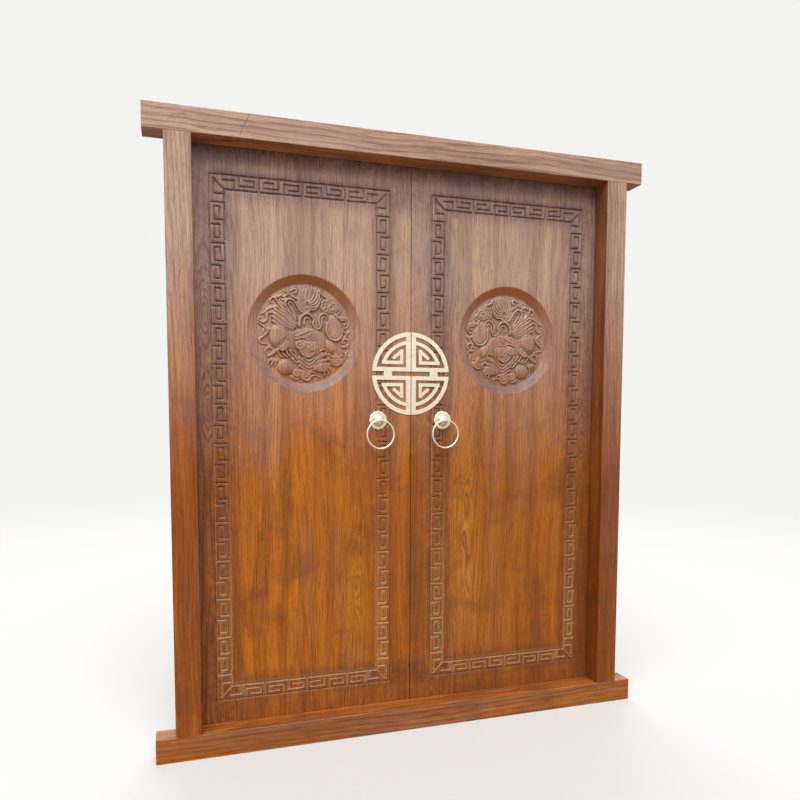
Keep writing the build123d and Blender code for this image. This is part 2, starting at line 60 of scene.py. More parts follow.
# Places in millimetres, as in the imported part
BOARD_LOW, BOARD_HIGH = (np.array(corner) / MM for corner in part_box("left_plank_1"))
LEAF_FRONT, LEAF_BACK = BOARD_LOW[1], BOARD_HIGH[1]
LEAF_BOTTOM, LEAF_TOP = BOARD_LOW[2], BOARD_HIGH[2]
LEAF_MIDDLE = (LEAF_FRONT + LEAF_BACK) / 2
EDGE_RADIUS = (LEAF_BACK - LEAF_FRONT) / 2
LEAF_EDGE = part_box("right_plank_5")[1].x / MM
PIVOT_PLACE = LEAF_EDGE - EDGE_RADIUS
BATTENS = ("lower", "middle", "upper")
BATTEN_LEVELS = [sum(corner.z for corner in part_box(f"left_{name}_batten")) / 2 / MM for name in BATTENS]
# Half widths of a batten at its root and neck, the depth of its groove, and where it ends
BATTEN_HALF, BATTEN_NECK, BATTEN_ROOT = 30, 24, 8
BATTEN_FAR = PIVOT_PLACE - 50
# Round top pivot and square foot tenon of the outer board, and how far they reach into it
PIVOT_RADIUS, TENON_HALF, OVERLAP = 19, 11, 1
FRET_NEAR, FRET_FAR = 89, 775
FRET_LOW, FRET_HIGH = 176, 2114
FRET_BAND = 52.5
FRET_PERIOD = 145
MEDALLION_PLACE, MEDALLION_LEVEL = 427, 1557
DISH_RADIUS, FIELD_RADIUS, DISH_DEPTH = 220, 186, 17
PULL_PLACE, PULL_LEVEL = 137, 1230
PLATE_LEVEL = 1414


# Settings of the sidebar


class DoorCarving(bpy.types.PropertyGroup):
    groove_half: bpy.props.FloatProperty(
        name="Groove Half Width", description="Half the width of a fret channel",
        default=3.3 * MM, unit="LENGTH")
    groove_depth: bpy.props.FloatProperty(
        name="Groove Depth", description="Depth of a fret channel",
        default=4.2 * MM, unit="LENGTH")
    fine_step: bpy.props.FloatProperty(
        name="Fine Step", description="Mesh step in the carved medallion",
        default=1.5 * MM, unit="LENGTH")
    plain_step: bpy.props.FloatProperty(
        name="Plain Step", description="Mesh step on plain boards",
        default=14 * MM, unit="LENGTH")
    relief: bpy.props.FloatProperty(
        name="Relief", description="Scale of the medallion's relief", default=1.0, subtype="FACTOR")
    wander: bpy.props.FloatProperty(
        name="Wander", description="How far the hand-cut lines wander",
        default=0.55 * MM, unit="LENGTH")


class DoorFinish(bpy.types.PropertyGroup):
    # Its pale colour is mostly a painted sky reflection over the elm
    upper_wood_and_sheen: bpy.props.FloatVectorProperty(
        name="Upper Wood And Sheen", description="Elm of the upper boards",
        default=(0.565, 0.376, 0.284), subtype="COLOR")
    lower_wood: bpy.props.FloatVectorProperty(
        name="Lower Wood", description="Elm of the lower boards",
        default=(0.50, 0.138, 0.009), subtype="COLOR")
    dark_wood: bpy.props.FloatVectorProperty(
        name="Dark Wood", description="Dark lines of the grain and old dirt",
        default=(0.100, 0.030, 0.010), subtype="COLOR")
    stain: bpy.props.FloatVectorProperty(
        name="Stain", description="Dark stain along the fret and the edges",
        default=(0.165, 0.052, 0.026), subtype="COLOR")
    brass: bpy.props.FloatVectorProperty(
        name="Brass", description="Rubbed brass", default=(0.98, 0.88, 0.65), subtype="COLOR")
    iron: bpy.props.FloatVectorProperty(
        name="Iron", description="Dull black iron", default=(0.09, 0.085, 0.08), subtype="COLOR")


class DoorBrass(bpy.types.PropertyGroup):
    nail_radius: bpy.props.FloatProperty(
        name="Nail Radius", description="Radius of a small nail head",
        default=1.5 * MM, unit="LENGTH")
    nail_step: bpy.props.FloatProperty(
        name="Nail Step", description="Distance between nails", default=14 * MM, unit="LENGTH")
    seed: bpy.props.IntProperty(name="Seed", description="Seed of the hand-set nails", default=7)


class DoorStage(bpy.types.PropertyGroup):
    floor: bpy.props.FloatVectorProperty(
        name="Floor", description="Colour of the floor",
        default=(0.62, 0.615, 0.605), subtype="COLOR")
    key: bpy.props.FloatProperty(
        name="Key Light", description="Strength of the wide soft sun",
        default=3.5, subtype="FACTOR")
    ambient: bpy.props.FloatProperty(
        name="Ambient", description="Strength of the light from all round",
        default=0.48, subtype="FACTOR")


# Shader nodes and materials


class Nodes:
    """Short ways to add and link the nodes of one shader tree."""

    def __init__(self, tree):
        self.tree = tree

    def add(self, kind, inputs=None, **settings):
        node = self.tree.nodes.new(kind)
        for name, value in settings.items():
            setattr(node, name, value)
        for name, value in (inputs or {}).items():
            self.put(node.inputs[name], value)
        return node

    def put(self, socket, value):
        if isinstance(value, bpy.types.NodeSocket):
            self.tree.links.new(value, socket)
        else:
            socket.default_value = value

    def math(self, operation, a, b=0.0, clamp=False):
        return self.add("ShaderNodeMath", {0: a, 1: b}, operation=operation, use_clamp=clamp).outputs[0]

    def vector(self, operation, a, b):
        return self.add("ShaderNodeVectorMath", {0: a, 1: b}, operation=operation).outputs[0]

    def mix(self, factor, a, b):
        node = self.add("ShaderNodeMix", data_type="RGBA")
        self.put(node.inputs[0], factor)
        for index, value in ((6, a), (7, b)):
            self.put(node.inputs[index], value if isinstance(value, bpy.types.NodeSocket) else solid(value))
        return node.outputs[2]

    def mix_value(self, factor, a, b):
        return self.add("ShaderNodeMix", {0: factor, 2: a, 3: b}).outputs[0]

    def noise(self, vector, scale, detail, roughness=0.55, distortion=0.0):
        return self.add("ShaderNodeTexNoise", {
            "Vector": vector, "Scale": scale, "Detail": detail,
            "Roughness": roughness, "Distortion": distortion}).outputs["Fac"]

    def span(self, value, low, high, out_low=0.0, out_high=1.0, smooth=False):
        return self.add("ShaderNodeMapRange", {
            "Value": value, "From Min": low, "From Max": high,
            "To Min": out_low, "To Max": out_high},
            interpolation_type="SMOOTHSTEP" if smooth else "LINEAR").outputs[0]

    def stretched(self, vector, scale):
        return self.add("ShaderNodeMapping", {"Vector": vector, "Scale": scale}).outputs[0]

    def attribute(self, name):
        return self.add("ShaderNodeAttribute", attribute_name=name).outputs["Fac"]


def solid(colour):
    return (*colour[:3], 1.0)


def shade(colour, factor):
    return tuple(min(1.0, channel * factor) for channel in colour[:3])


def new_group(name, inputs, outputs):
    """An empty shader node group with named sockets, and its first and last nodes."""
    tree = bpy.data.node_groups.new(name, "ShaderNodeTree")
    for label, kind, value in inputs:
        socket = tree.interface.new_socket(label, in_out="INPUT", socket_type=f"NodeSocket{kind}")
        if value is not None:
            socket.default_value = value
    for label, kind in outputs:
        tree.interface.new_socket(label, in_out="OUTPUT", socket_type=f"NodeSocket{kind}")
    return Nodes(tree), tree.nodes.new("NodeGroupInput").outputs, tree.nodes.new("NodeGroupOutput").inputs


def knot_group():
    """How much one knot at X and Z swells the growth rings, and its dark eye."""
    n, inside, outside = new_group(
        "Knot",
        [("Vector", "Vector", None), ("X", "Float", 0.0), ("Z", "Float", 0.0), ("Radius", "Float", 0.012)],
        [("Swell", "Float"), ("Eye", "Float")])
    parts = n.add("ShaderNodeSeparateXYZ", {0: inside["Vector"]}).outputs
    across = n.math("DIVIDE", n.math("SUBTRACT", parts[0], inside["X"]), inside["Radius"])
    tall = n.math("MULTIPLY", inside["Radius"], 3.2)
    along = n.math("DIVIDE", n.math("SUBTRACT", parts[2], inside["Z"]), tall)
    spread = n.math("ADD", n.math("MULTIPLY", across, across), n.math("MULTIPLY", along, along))
    n.put(outside["Swell"], n.math("DIVIDE", 1.0, n.math("ADD", spread, 1.0)))
    n.put(outside["Eye"], n.span(n.math("SQRT", spread), 0.32, 0.12))
    return n.tree


def grain_group():
    """Elm grain along Z: fibres, pores and growth rings about a leaning heart, closing in tall arches."""
    n, inside, outside = new_group(
        "Elm Grain",
        [("Vector", "Vector", None), ("Heart X", "Float", 0.0), ("Spacing", "Float", 0.009),
         ("Lean", "Float", 0.06), ("Swell", "Float", 0.0)],
        [(label, "Float") for label in ("Rings", "Fibres", "Pores", "Cloud", "Bands")])
    vector = inside["Vector"]
    slow = n.add("ShaderNodeTexNoise", {
        "Vector": n.stretched(vector, (4.0, 4.0, 1.1)), "Scale": 1.0, "Detail": 2.5})
    shift = n.vector("SUBTRACT", slow.outputs["Color"], (0.5, 0.5, 0.5))
    scaled = n.add("ShaderNodeVectorMath", {0: shift, "Scale": 0.07}, operation="SCALE").outputs[0]
    wandered = n.vector("ADD", vector, scaled)
    parts = n.add("ShaderNodeSeparateXYZ", {0: wandered}).outputs
    across = n.math("SUBTRACT", parts[0], inside["Heart X"])
    start = n.math("PINGPONG", n.math("MULTIPLY", inside["Heart X"], 1.7), 0.11)
    deep = n.math("ADD", n.math("MULTIPLY", parts[2], inside["Lean"]), start)
    far = n.math("SQRT", n.math("ADD", n.math("MULTIPLY", across, across), n.math("MULTIPLY", deep, deep)))
    rough = n.noise(n.stretched(wandered, (1.0, 1.0, 0.05)), 55.0, 4.0, 0.6)
    phase = n.math("ADD", n.math("DIVIDE", far, inside["Spacing"]), n.math("MULTIPLY", rough, 1.3))
    phase = n.math("SUBTRACT", phase, n.math("MULTIPLY", inside["Swell"], 5.5))
    ring = n.math("FRACT", phase)
    late = n.math("MULTIPLY", n.span(ring, 0.45, 0.92, smooth=True), n.span(ring, 1.0, 0.90))
    fibre_space = n.stretched(wandered, (1.0, 1.0, 0.022))
    pores = n.noise(n.stretched(wandered, (1.0, 1.0, 0.045)), 900.0, 2.0, 0.5)
    n.put(outside["Rings"], late)
    n.put(outside["Fibres"], n.noise(fibre_space, 330.0, 5.0, 0.72))
    n.put(outside["Pores"], n.span(pores, 0.58, 0.72))
    n.put(outside["Cloud"], n.noise(n.stretched(vector, (9.0, 9.0, 1.5)), 1.0, 3.0, 0.6))
    n.put(outside["Bands"], n.noise(n.stretched(wandered, (21.0, 21.0, 0.7)), 1.0, 4.0, 0.58))
    return n.tree


def blotch_group():
    """Soft irregular patches, for worn varnish, dirt, tarnish and patches of painted sheen."""
    n, inside, outside = new_group(
        "Blotches",
        [("Vector", "Vector", None), ("Size", "Float", 0.1), ("Low", "Float", 0.45), ("High", "Float", 0.7)],
        [("Mask", "Float"), ("Fine", "Float")])
    scale = n.math("DIVIDE", 1.0, inside["Size"])
    big = n.noise(inside["Vector"], scale, 5.0, 0.62, 0.4)
    n.put(outside["Mask"], n.span(big, inside["Low"], inside["High"], smooth=True))
    n.put(outside["Fine"], n.noise(inside["Vector"], n.math("MULTIPLY", scale, 7.0), 4.0, 0.65))
    return n.tree


GROUPS = {}


def place_group(n, name, **inputs):
    """A shared group placed in one material with its own values."""
    node = n.add("ShaderNodeGroup", node_tree=GROUPS[name])
    for label, value in inputs.items():
        n.put(node.inputs[label.replace("_", " ").title()], value)
    return node.outputs


def new_material(name):
    """An empty material and its Principled shader."""
    material = bpy.data.materials.new(name)
    material.use_nodes = True
    material.node_tree.nodes.clear()
    n = Nodes(material.node_tree)
    shader = n.add("ShaderNodeBsdfPrincipled")
    n.add("ShaderNodeOutputMaterial", {"Surface": shader.outputs[0]})
    return material, n, shader.inputs


def along_z(n, axis):
    """Object coordinates turned so that the grain runs along Z."""
    place = n.add("ShaderNodeTexCoord").outputs["Object"]
    if axis == "X":
        place = n.add("ShaderNodeMapping", {"Vector": place, "Rotation": (0, math.pi / 2, 0)}).outputs[0]
    return place


def heart_place(n, x, seams, hearts):
    """The heart's X for the board that a place belongs to, stepped at the seams."""
    place = hearts[0]
    for seam, before, after in zip(seams, hearts, hearts[1:]):
        place = n.math("ADD", place, n.math("MULTIPLY", n.math("GREATER_THAN", x, seam), after - before))
    return place


# Heights in metres between which the finish turns from warm to pale; the pale high up is mostly a painted sky
# reflection
WARM_BELOW, PALE_ABOVE = 0.95, 1.82
# Colours of the finish low on the door and high on it; the high ones hold a painted pale sky reflection
STREAK_LOW, STREAK_HIGH = (0.64, 0.205, 0.012), (0.67, 0.46, 0.32)
KNOT_LOW = (0.66, 0.235, 0.015)
STAIN_HIGH = (0.21, 0.152, 0.162)
# Lavender of the painted sheen patches high on the door
SHEEN_PATCH_HIGH = (0.33, 0.235, 0.235)
RUBBED_LOW = (0.60, 0.34, 0.16)
# Dull lavender-grey of a painted sky reflection on what faces up
UPWARD_SKY_SHEEN = (0.160, 0.108, 0.106)


def crack_mask(n, parts, fine, crack):
    """A thin crack that wanders between two places in X and Z."""
    (x0, z0), (x1, z1) = crack
    course = n.math("ADD", n.math("MULTIPLY", n.math("SUBTRACT", parts[2], z0), (x1 - x0) / (z1 - z0)), x0)
    course = n.math("ADD", course, n.span(fine, 0.3, 0.7, -0.004, 0.004))
    away = n.math("ABSOLUTE", n.math("SUBTRACT", parts[0], course))
    return n.math("MULTIPLY", n.span(away, 0.0026, 0.0008), n.span(parts[2], z1 - 0.003, z1 + 0.003))


def carved_shade_and_wear(n, base, rise, uneven, fine, upper, lower, dark):
    """Painted shade on what faces down, a painted pale sky reflection on what faces up, painted shade in the
    cuts and hollows with the painted shadow of the head beam, and rubbed edges, from the attributes of the
    boards.
    """
    slope = n.attribute("lean")
    # Painted shade: what faces down, at the top of the dish's bevel and under the relief's forms, turns
    # darker and warmer
    base = n.mix(n.span(slope, 0.05, 0.9, 0.0, 0.85), base, shade(lower, 0.64))
    # Painted reflection: what faces up, at the bottom of the bevel and on the relief's upper slopes, takes
    # the dull lavender-grey of a sky sheen
    base = n.mix(n.math("MULTIPLY", n.span(slope, -0.05, -0.9, 0.0, 0.90), uneven), base, UPWARD_SKY_SHEEN)
    # Painted shade in the fret's cuts, the relief's hollows and the dish's crease, with the painted shadow of
    # the head beam at the top
    shade_in_cuts = n.math("MULTIPLY", n.attribute("painted_shade"), n.mix_value(rise, 0.28, 1.0))
    base = n.mix(n.math("MULTIPLY", shade_in_cuts, n.span(fine, 0.34, 0.58, 0.65, 1.0)), base, shade(dark, 0.6))
    rubbed = n.math("MULTIPLY", n.attribute("rub"), n.mix_value(rise, 0.75, 0.42))
    return n.mix(rubbed, base, n.mix(rise, RUBBED_LOW, shade(upper, 1.2)))


def wood(name, axis, upper, lower, dark, stain=None, knots=(), tone=(1.0, 1.0), gloss=0.30, heart=(0.0,),
         seams=(), lean=0.02, figure=0.5, spacing=0.009, pale_from=0.0, pale_to=1.0, front=None,
         rightward_shade=(0.03, 0.38), crack=None):
    """Varnished elm with fibres along one axis, paler high up by a painted sky reflection and darker towards
    the right by painted shade. Carved boards also bring their own attributes.
    """
    material, n, shader = new_material(name)
    place = along_z(n, axis)
    across = n.add("ShaderNodeSeparateXYZ", {0: place}).outputs[0]
    swell, eye = 0.0, 0.0
    for x, z, radius in knots:
        knot = place_group(n, "Knot", vector=place, x=x, z=z, radius=radius)
        swell = n.math("ADD", swell, knot["Swell"])
        eye = n.math("ADD", eye, knot["Eye"])
    grain = place_group(n, "Elm Grain", vector=place, heart_x=heart_place(n, across, seams, heart), lean=lean,
                        spacing=spacing, swell=swell)
    world = n.add("ShaderNodeTexCoord").outputs["Object"]
    parts = n.add("ShaderNodeSeparateXYZ", {0: world}).outputs
    # The pale colours that rise brings in high up are mostly a painted sky reflection
    rise = n.math("ADD", n.span(parts[2], WARM_BELOW, PALE_ABOVE, pale_from, pale_to),
                  n.span(grain["Cloud"], 0.3, 0.7, -0.22, 0.12), clamp=True)
    # Faces behind the front face, such as the head beam's underside and the posts' reveals, get less of the
    # painted sky reflection
    if front is not None:
        rise = n.math("MULTIPLY", rise, n.span(parts[1], front, front + 0.003, 1.0, 0.25))

    def by_rise(low, high):
        return n.mix(rise, low, high)

    line = by_rise(shade(dark, 0.9), shade(dark, 1.8))
    patches = place_group(n, "Blotches", vector=world, size=0.17, low=0.47, high=0.70)
    fine = patches["Fine"]
    uneven = n.span(fine, 0.38, 0.62, 0.45, 1.0)
    base = by_rise(shade(lower, tone[0]), shade(upper, tone[1]))
    base = n.mix(n.span(grain["Bands"], 0.50, 0.38, 0.0, 0.66), base, by_rise(STREAK_LOW, STREAK_HIGH))
    deep = by_rise(shade(lower, 0.52), shade(upper, 0.62))
    base = n.mix(n.span(grain["Bands"], 0.49, 0.60, 0.0, 0.66), base, deep)
    base = n.mix(n.span(grain["Cloud"], 0.46, 0.70, 0.0, 0.30), base, shade(dark, 2.4))
    if knots:
        glow = by_rise(KNOT_LOW, shade(upper, 0.9))
        base = n.mix(n.math("MULTIPLY", swell, 0.75, clamp=True), base, glow)
    drawn = figure
    if stain is not None:
        stained = n.attribute("stain")
        base = n.mix(n.math("MULTIPLY", stained, uneven), base, by_rise(stain, STAIN_HIGH))
        drawn = n.math("ADD", n.math("MULTIPLY", figure, n.mix_value(rise, 1.0, 0.42)),
                       n.math("MULTIPLY", stained, 0.40))
    thinned = n.math("MULTIPLY", drawn, n.span(grain["Cloud"], 0.36, 0.56, 0.45, 1.25))
    if knots:
        thinned = n.math("ADD", thinned, n.math("MULTIPLY", swell, 0.28))
    base = n.mix(n.math("MULTIPLY", grain["Rings"], thinned, clamp=True), base, line)
    bright = by_rise(shade(lower, 1.6), shade(upper, 1.3))
    base = n.mix(n.span(grain["Fibres"], 0.52, 0.70, 0.0, 0.30), base, bright)
    base = n.mix(n.span(grain["Fibres"], 0.50, 0.34, 0.0, 0.65), base, line)
    base = n.mix(n.math("MULTIPLY", grain["Pores"], 0.40), base, dark)
    if knots:
        base = n.mix(n.math("MULTIPLY", eye, 0.25, clamp=True), base, dark)
    # Low down, darker blotches; high up, lavender patches of painted sheen
    blotches_and_sheen = n.math("MULTIPLY", patches["Mask"], n.mix_value(rise, 0.52, 0.38))
    base = n.mix(blotches_and_sheen, base, by_rise(shade(dark, 1.8), SHEEN_PATCH_HIGH))
    # Painted shade that darkens the wood towards the right of the door, less so high up
    painted_shade_rightward = n.math("MULTIPLY", n.span(parts[0], -0.9, 0.9, *rightward_shade), n.mix_value(rise, 1.0, 0.35))
    base = n.mix(painted_shade_rightward, base, shade(dark, 1.1))
    if crack is not None:
        seen = n.math("MULTIPLY", crack_mask(n, parts, fine, crack), uneven)
        base = n.mix(n.math("MULTIPLY", seen, 0.8), base, shade(dark, 0.9))
    if stain is not None:
        base = carved_shade_and_wear(n, base, rise, uneven, fine, upper, lower, dark)
    n.put(shader["Base Color"], base)
    n.put(shader["Roughness"], n.span(fine, 0.25, 0.75, gloss - 0.06, gloss + 0.18))
    shader["Specular IOR Level"].default_value = 0.24
    n.put(shader["Coat Weight"], n.math("MULTIPLY", n.span(patches["Mask"], 0.0, 1.0, 0.30, 0.08),
                                        n.mix_value(rise, 0.20, 1.0)))
    shader["Coat Roughness"].default_value = 0.20
    height_field = n.math("ADD", n.math("MULTIPLY", grain["Fibres"], 0.7),
                          n.math("MULTIPLY", grain["Pores"], -0.5))
    bump = n.add("ShaderNodeBump", {"Strength": 0.5, "Distance": 0.0008, "Height": height_field})
    n.put(shader["Normal"], bump.outputs[0])
    return material


def metal(name, colour, roughness, tarnish, dent, metallic=1.0):
    """Worked metal with tarnish in soft patches and small dents."""
    material, n, shader = new_material(name)
    place = n.add("ShaderNodeTexCoord").outputs["Object"]
    patches = place_group(n, "Blotches", vector=place, size=0.035, low=0.46, high=0.72)
    base = n.mix(n.math("MULTIPLY", patches["Mask"], tarnish), colour, shade(colour, 0.45))
    base = n.mix(n.span(patches["Fine"], 0.35, 0.8, 0.0, 0.12), base, shade(colour, 1.2))
    n.put(shader["Base Color"], base)
    shader["Metallic"].default_value = metallic
    n.put(shader["Roughness"], n.span(patches["Fine"], 0.25, 0.75, roughness - 0.08, roughness + 0.14))
    bump = n.add("ShaderNodeBump", {"Strength": 0.5, "Distance": dent, "Height": n.noise(place, 190.0, 3.0)})
    n.put(shader["Normal"], bump.outputs[0])
    return material


MATERIALS = {}
# Knots of the boards: X, Z and radius in metres
BOARD_KNOTS = ((0.232, 0.56, 0.042), (0.226, 0.74, 0.030), (0.230, 0.92, 0.038), (0.214, 1.577, 0.016),
               (-0.236, 0.57, 0.030), (-0.80, 1.62, 0.030), (-0.79, 1.28, 0.026), (0.80, 1.15, 0.024))
# Where the heart of each board's tree lies, from the left edge of the door to the right
BOARD_HEARTS = (-0.80, -0.73, -0.47, -0.18, -0.36, 0.21, 0.42, 0.33, 0.72, 0.79)
POST_HEARTS = (-0.99, 0.80)
# The heart of the beams lies far below the door, so that their rings run nearly straight
BEAM_HEART = -2.262
HEAD_CRACK = ((-0.639, 2.292), (-0.671, 2.222))


def make_materials():
    """All finishes of the door, from the colours in the sidebar."""
    finish = bpy.context.scene.door_finish
    GROUPS.update({"Knot": knot_group(), "Elm Grain": grain_group(), "Blotches": blotch_group()})
    upper, lower, dark = finish.upper_wood_and_sheen, finish.lower_wood, finish.dark_wood
    browner = (lower[0], lower[1] * 0.88, lower[2])
    half_seams = [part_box(f"right_plank_{number}")[1].x for number in range(1, 5)]
    seams = [-seam for seam in reversed(half_seams)] + [0.0] + half_seams
    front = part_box("head_beam")[0].y
    rear = {"tone": (0.9, 0.9), "gloss": 0.5, "pale_to": 0.6}
    MATERIALS.update({
        "boards": wood("Carved Boards", "Z", upper, lower, dark, stain=finish.stain, knots=BOARD_KNOTS,
                       heart=BOARD_HEARTS, seams=seams, figure=0.26, spacing=0.0078),
        "posts": wood("Post Elm", "Z", upper, browner, dark, heart=POST_HEARTS, seams=(0.0,), figure=0.42,
                      spacing=0.011, tone=(0.80, 0.98), pale_from=0.05, front=front, rightward_shade=(0.18, 0.46)),
        "beams": wood("Beam Elm", "X", upper, lower, dark, heart=(BEAM_HEART,), lean=0.03, figure=0.52,
                      spacing=0.021, tone=(0.95, 0.95), pale_from=0.20, front=front, crack=HEAD_CRACK),
        "rear": wood("Rear Elm", "Z", upper, lower, dark, **rear),
        "rear_beams": wood("Rear Beam Elm", "X", upper, lower, dark, **rear),
        "brass": metal("Rubbed Brass", finish.brass, 0.30, 0.26, 0.00015, metallic=0.72),
        "iron": metal("Black Iron", finish.iron, 0.55, 0.5, 0.0008),
    })


def finish_node(node, material):
    """Gives a CAD node its material."""
    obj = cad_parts[node]
    obj.data.materials.clear()
    obj.data.materials.append(MATERIALS[material])


def new_piece(name, vertices, faces, material, smooth=True):
    """A mesh object at the origin, from millimetres."""
    mesh = bpy.data.meshes.new(name)
    mesh.from_pydata((np.asarray(vertices, float) * MM).tolist(), [], faces)
    mesh.update()
    mesh.polygons.foreach_set("use_smooth", np.full(len(mesh.polygons), smooth))
    mesh.materials.append(MATERIALS[material])
    obj = bpy.data.objects.new(name, mesh)
    bpy.context.scene.collection.objects.link(obj)
    return obj


# Fret border

# Places of a hook's two long cuts across the band, from the outer channel inwards
HOOK_REACH, HOOK_TURN = 16, 36
# Half the gap of the inner line at a divider, and where a mitre starts inside the outer channel
DIVIDER_GAP, MITRE_START = 8, 14
CORNER_HOOK = 41
# Upright border: number of dividers, where the two hooks start below each, their length and return
SIDE_DIVIDERS = 13
SIDE_INNER, SIDE_OUTER = 62, 79
SIDE_LENGTH, SIDE_RETURN = 47, 30
# Level border: spacing of its dividers, length and return of its hooks
END_SPACING = 164
END_LENGTH, END_RETURN = 56, 37
# Hooks of half the level border: place, way, and whether they leave the outer channel
END_HOOKS = ((71, -1, False), (91, 1, True), (237, -1, True))
END_CORNER, END_CORNER_REACH = 37, 19


def spiral(start, length, back, from_outer=False):
    """Square spiral of four cuts that leaves the inner line, or the outer channel."""
    points = [(start, FRET_BAND), (start, HOOK_REACH), (start + length, HOOK_REACH),
              (start + length, HOOK_TURN), (start + length - back, HOOK_TURN)]
    return [(u, FRET_BAND - v) for u, v in points] if from_outer else points


def ruled_band(half, dividers):
    """The inner line of a border, open beside each divider, and the dividers."""
    stops = [-half] + [u + step for u in dividers for step in (-DIVIDER_GAP, DIVIDER_GAP)] + [half]
    runs = [[(a, FRET_BAND), (b, FRET_BAND)] for a, b in zip(stops[::2], stops[1::2])]
    return runs + [[(u, 0), (u, FRET_BAND)] for u in dividers]


def side_border():
    """Channels of an upright border: u runs up it and v from the outer channel inwards."""
    half = (FRET_HIGH - FRET_LOW) / 2
    dividers = [(step - SIDE_DIVIDERS // 2) * FRET_PERIOD for step in range(SIDE_DIVIDERS)]
    runs = ruled_band(half - FRET_BAND, dividers)
    for u in dividers[1:]:
        runs.append(spiral(u - SIDE_INNER, SIDE_LENGTH, SIDE_RETURN))
        runs.append(spiral(u - SIDE_OUTER, -SIDE_LENGTH, -SIDE_RETURN, from_outer=True))
    for way in (-1, 1):
        corner = way * (half - FRET_BAND - HOOK_REACH)
        runs.append([(corner, FRET_BAND), (corner, HOOK_REACH), (corner + way * CORNER_HOOK, HOOK_REACH)])
    return runs


def end_border():
    """Channels of a level border, in mirrored pairs about its middle."""
    half = (FRET_FAR - FRET_NEAR) / 2
    runs = ruled_band(half - FRET_BAND, [-END_SPACING, 0, END_SPACING])
    for way in (-1, 1):
        for place, turn, from_outer in END_HOOKS:
            runs.append(spiral(way * place, way * turn * END_LENGTH, way * turn * END_RETURN, from_outer))
        corner = way * (half - FRET_BAND - END_CORNER)
        runs.append([(corner, FRET_BAND), (corner, END_CORNER_REACH),
                     (corner + way * CORNER_HOOK, END_CORNER_REACH)])
    return runs


def fret_channels():
    """Straight cuts of one leaf as pairs of points: place from the door's middle, and height."""
    middle, level = (FRET_NEAR + FRET_FAR) / 2, (FRET_LOW + FRET_HIGH) / 2
    half_width, half_height = (FRET_FAR - FRET_NEAR) / 2, (FRET_HIGH - FRET_LOW) / 2
    runs = []
    for way in (-1, 1):
        runs += [[(u, way * (half_height - v)) for u, v in run] for run in end_border()]
        runs += [[(way * (half_width - v), u) for u, v in run] for run in side_border()]
        for rise in (-1, 1):
            runs.append([(way * (half_width - inset), rise * (half_height - inset))
                         for inset in (MITRE_START, FRET_BAND)])
        runs.append([(way * half_width, -half_height), (way * half_width, half_height)])
        runs.append([(-half_width, way * half_height), (half_width, way * half_height)])
    return np.array([pair for run in runs for pair in zip(run, run[1:])]) + (middle, level)


# Medallion

RELIEF_STEP = 0.75
RELIEF_HALF = 190
# Drawing units of the medallion: thirds of a millimetre from the top left of its sheet
SHEET_CENTRE = (699, 729)
SHEET_UNIT = 3.0
# Way in which the carver's cuts fall off, to the lower right
CUT_SIDE = (0.42, -0.91)
# Depth and width of the low cut round a form, and width of a curl's ridge as a share of its radius
MOAT_DEPTH, MOAT_WIDTH = 2.6, 3.6
CURL_WIDTH = 0.42


def sheet(points):
    """Points of the medallion drawing in millimetres from its centre, X right and Z up."""
    points = np.asarray(points, float)
    return np.stack([(points[:, 0] - SHEET_CENTRE[0]), (SHEET_CENTRE[1] - points[:, 1])], 1) / SHEET_UNIT


def smooth_line(points, closed=False, steps=6):
    """A Catmull-Rom line through the points."""
    points = np.asarray(points, float)
    if closed:
        ring = np.concatenate([points[-1:], points, points[:2]])
    else:
        ring = np.concatenate([2 * points[:1] - points[1:2], points, 2 * points[-1:] - points[-2:-1]])
    out = []
    t = np.linspace(0, 1, steps, endpoint=False)[:, None]
    for a, b, c, d in zip(ring, ring[1:], ring[2:], ring[3:]):
        out.append(0.5 * (2 * b + (c - a) * t + (2 * a - 5 * b + 4 * c - d) * t ** 2
                          + (3 * b - a - 3 * c + d) * t ** 3))
    line = np.concatenate(out)
    return line if closed else np.concatenate([line, points[-1:]])


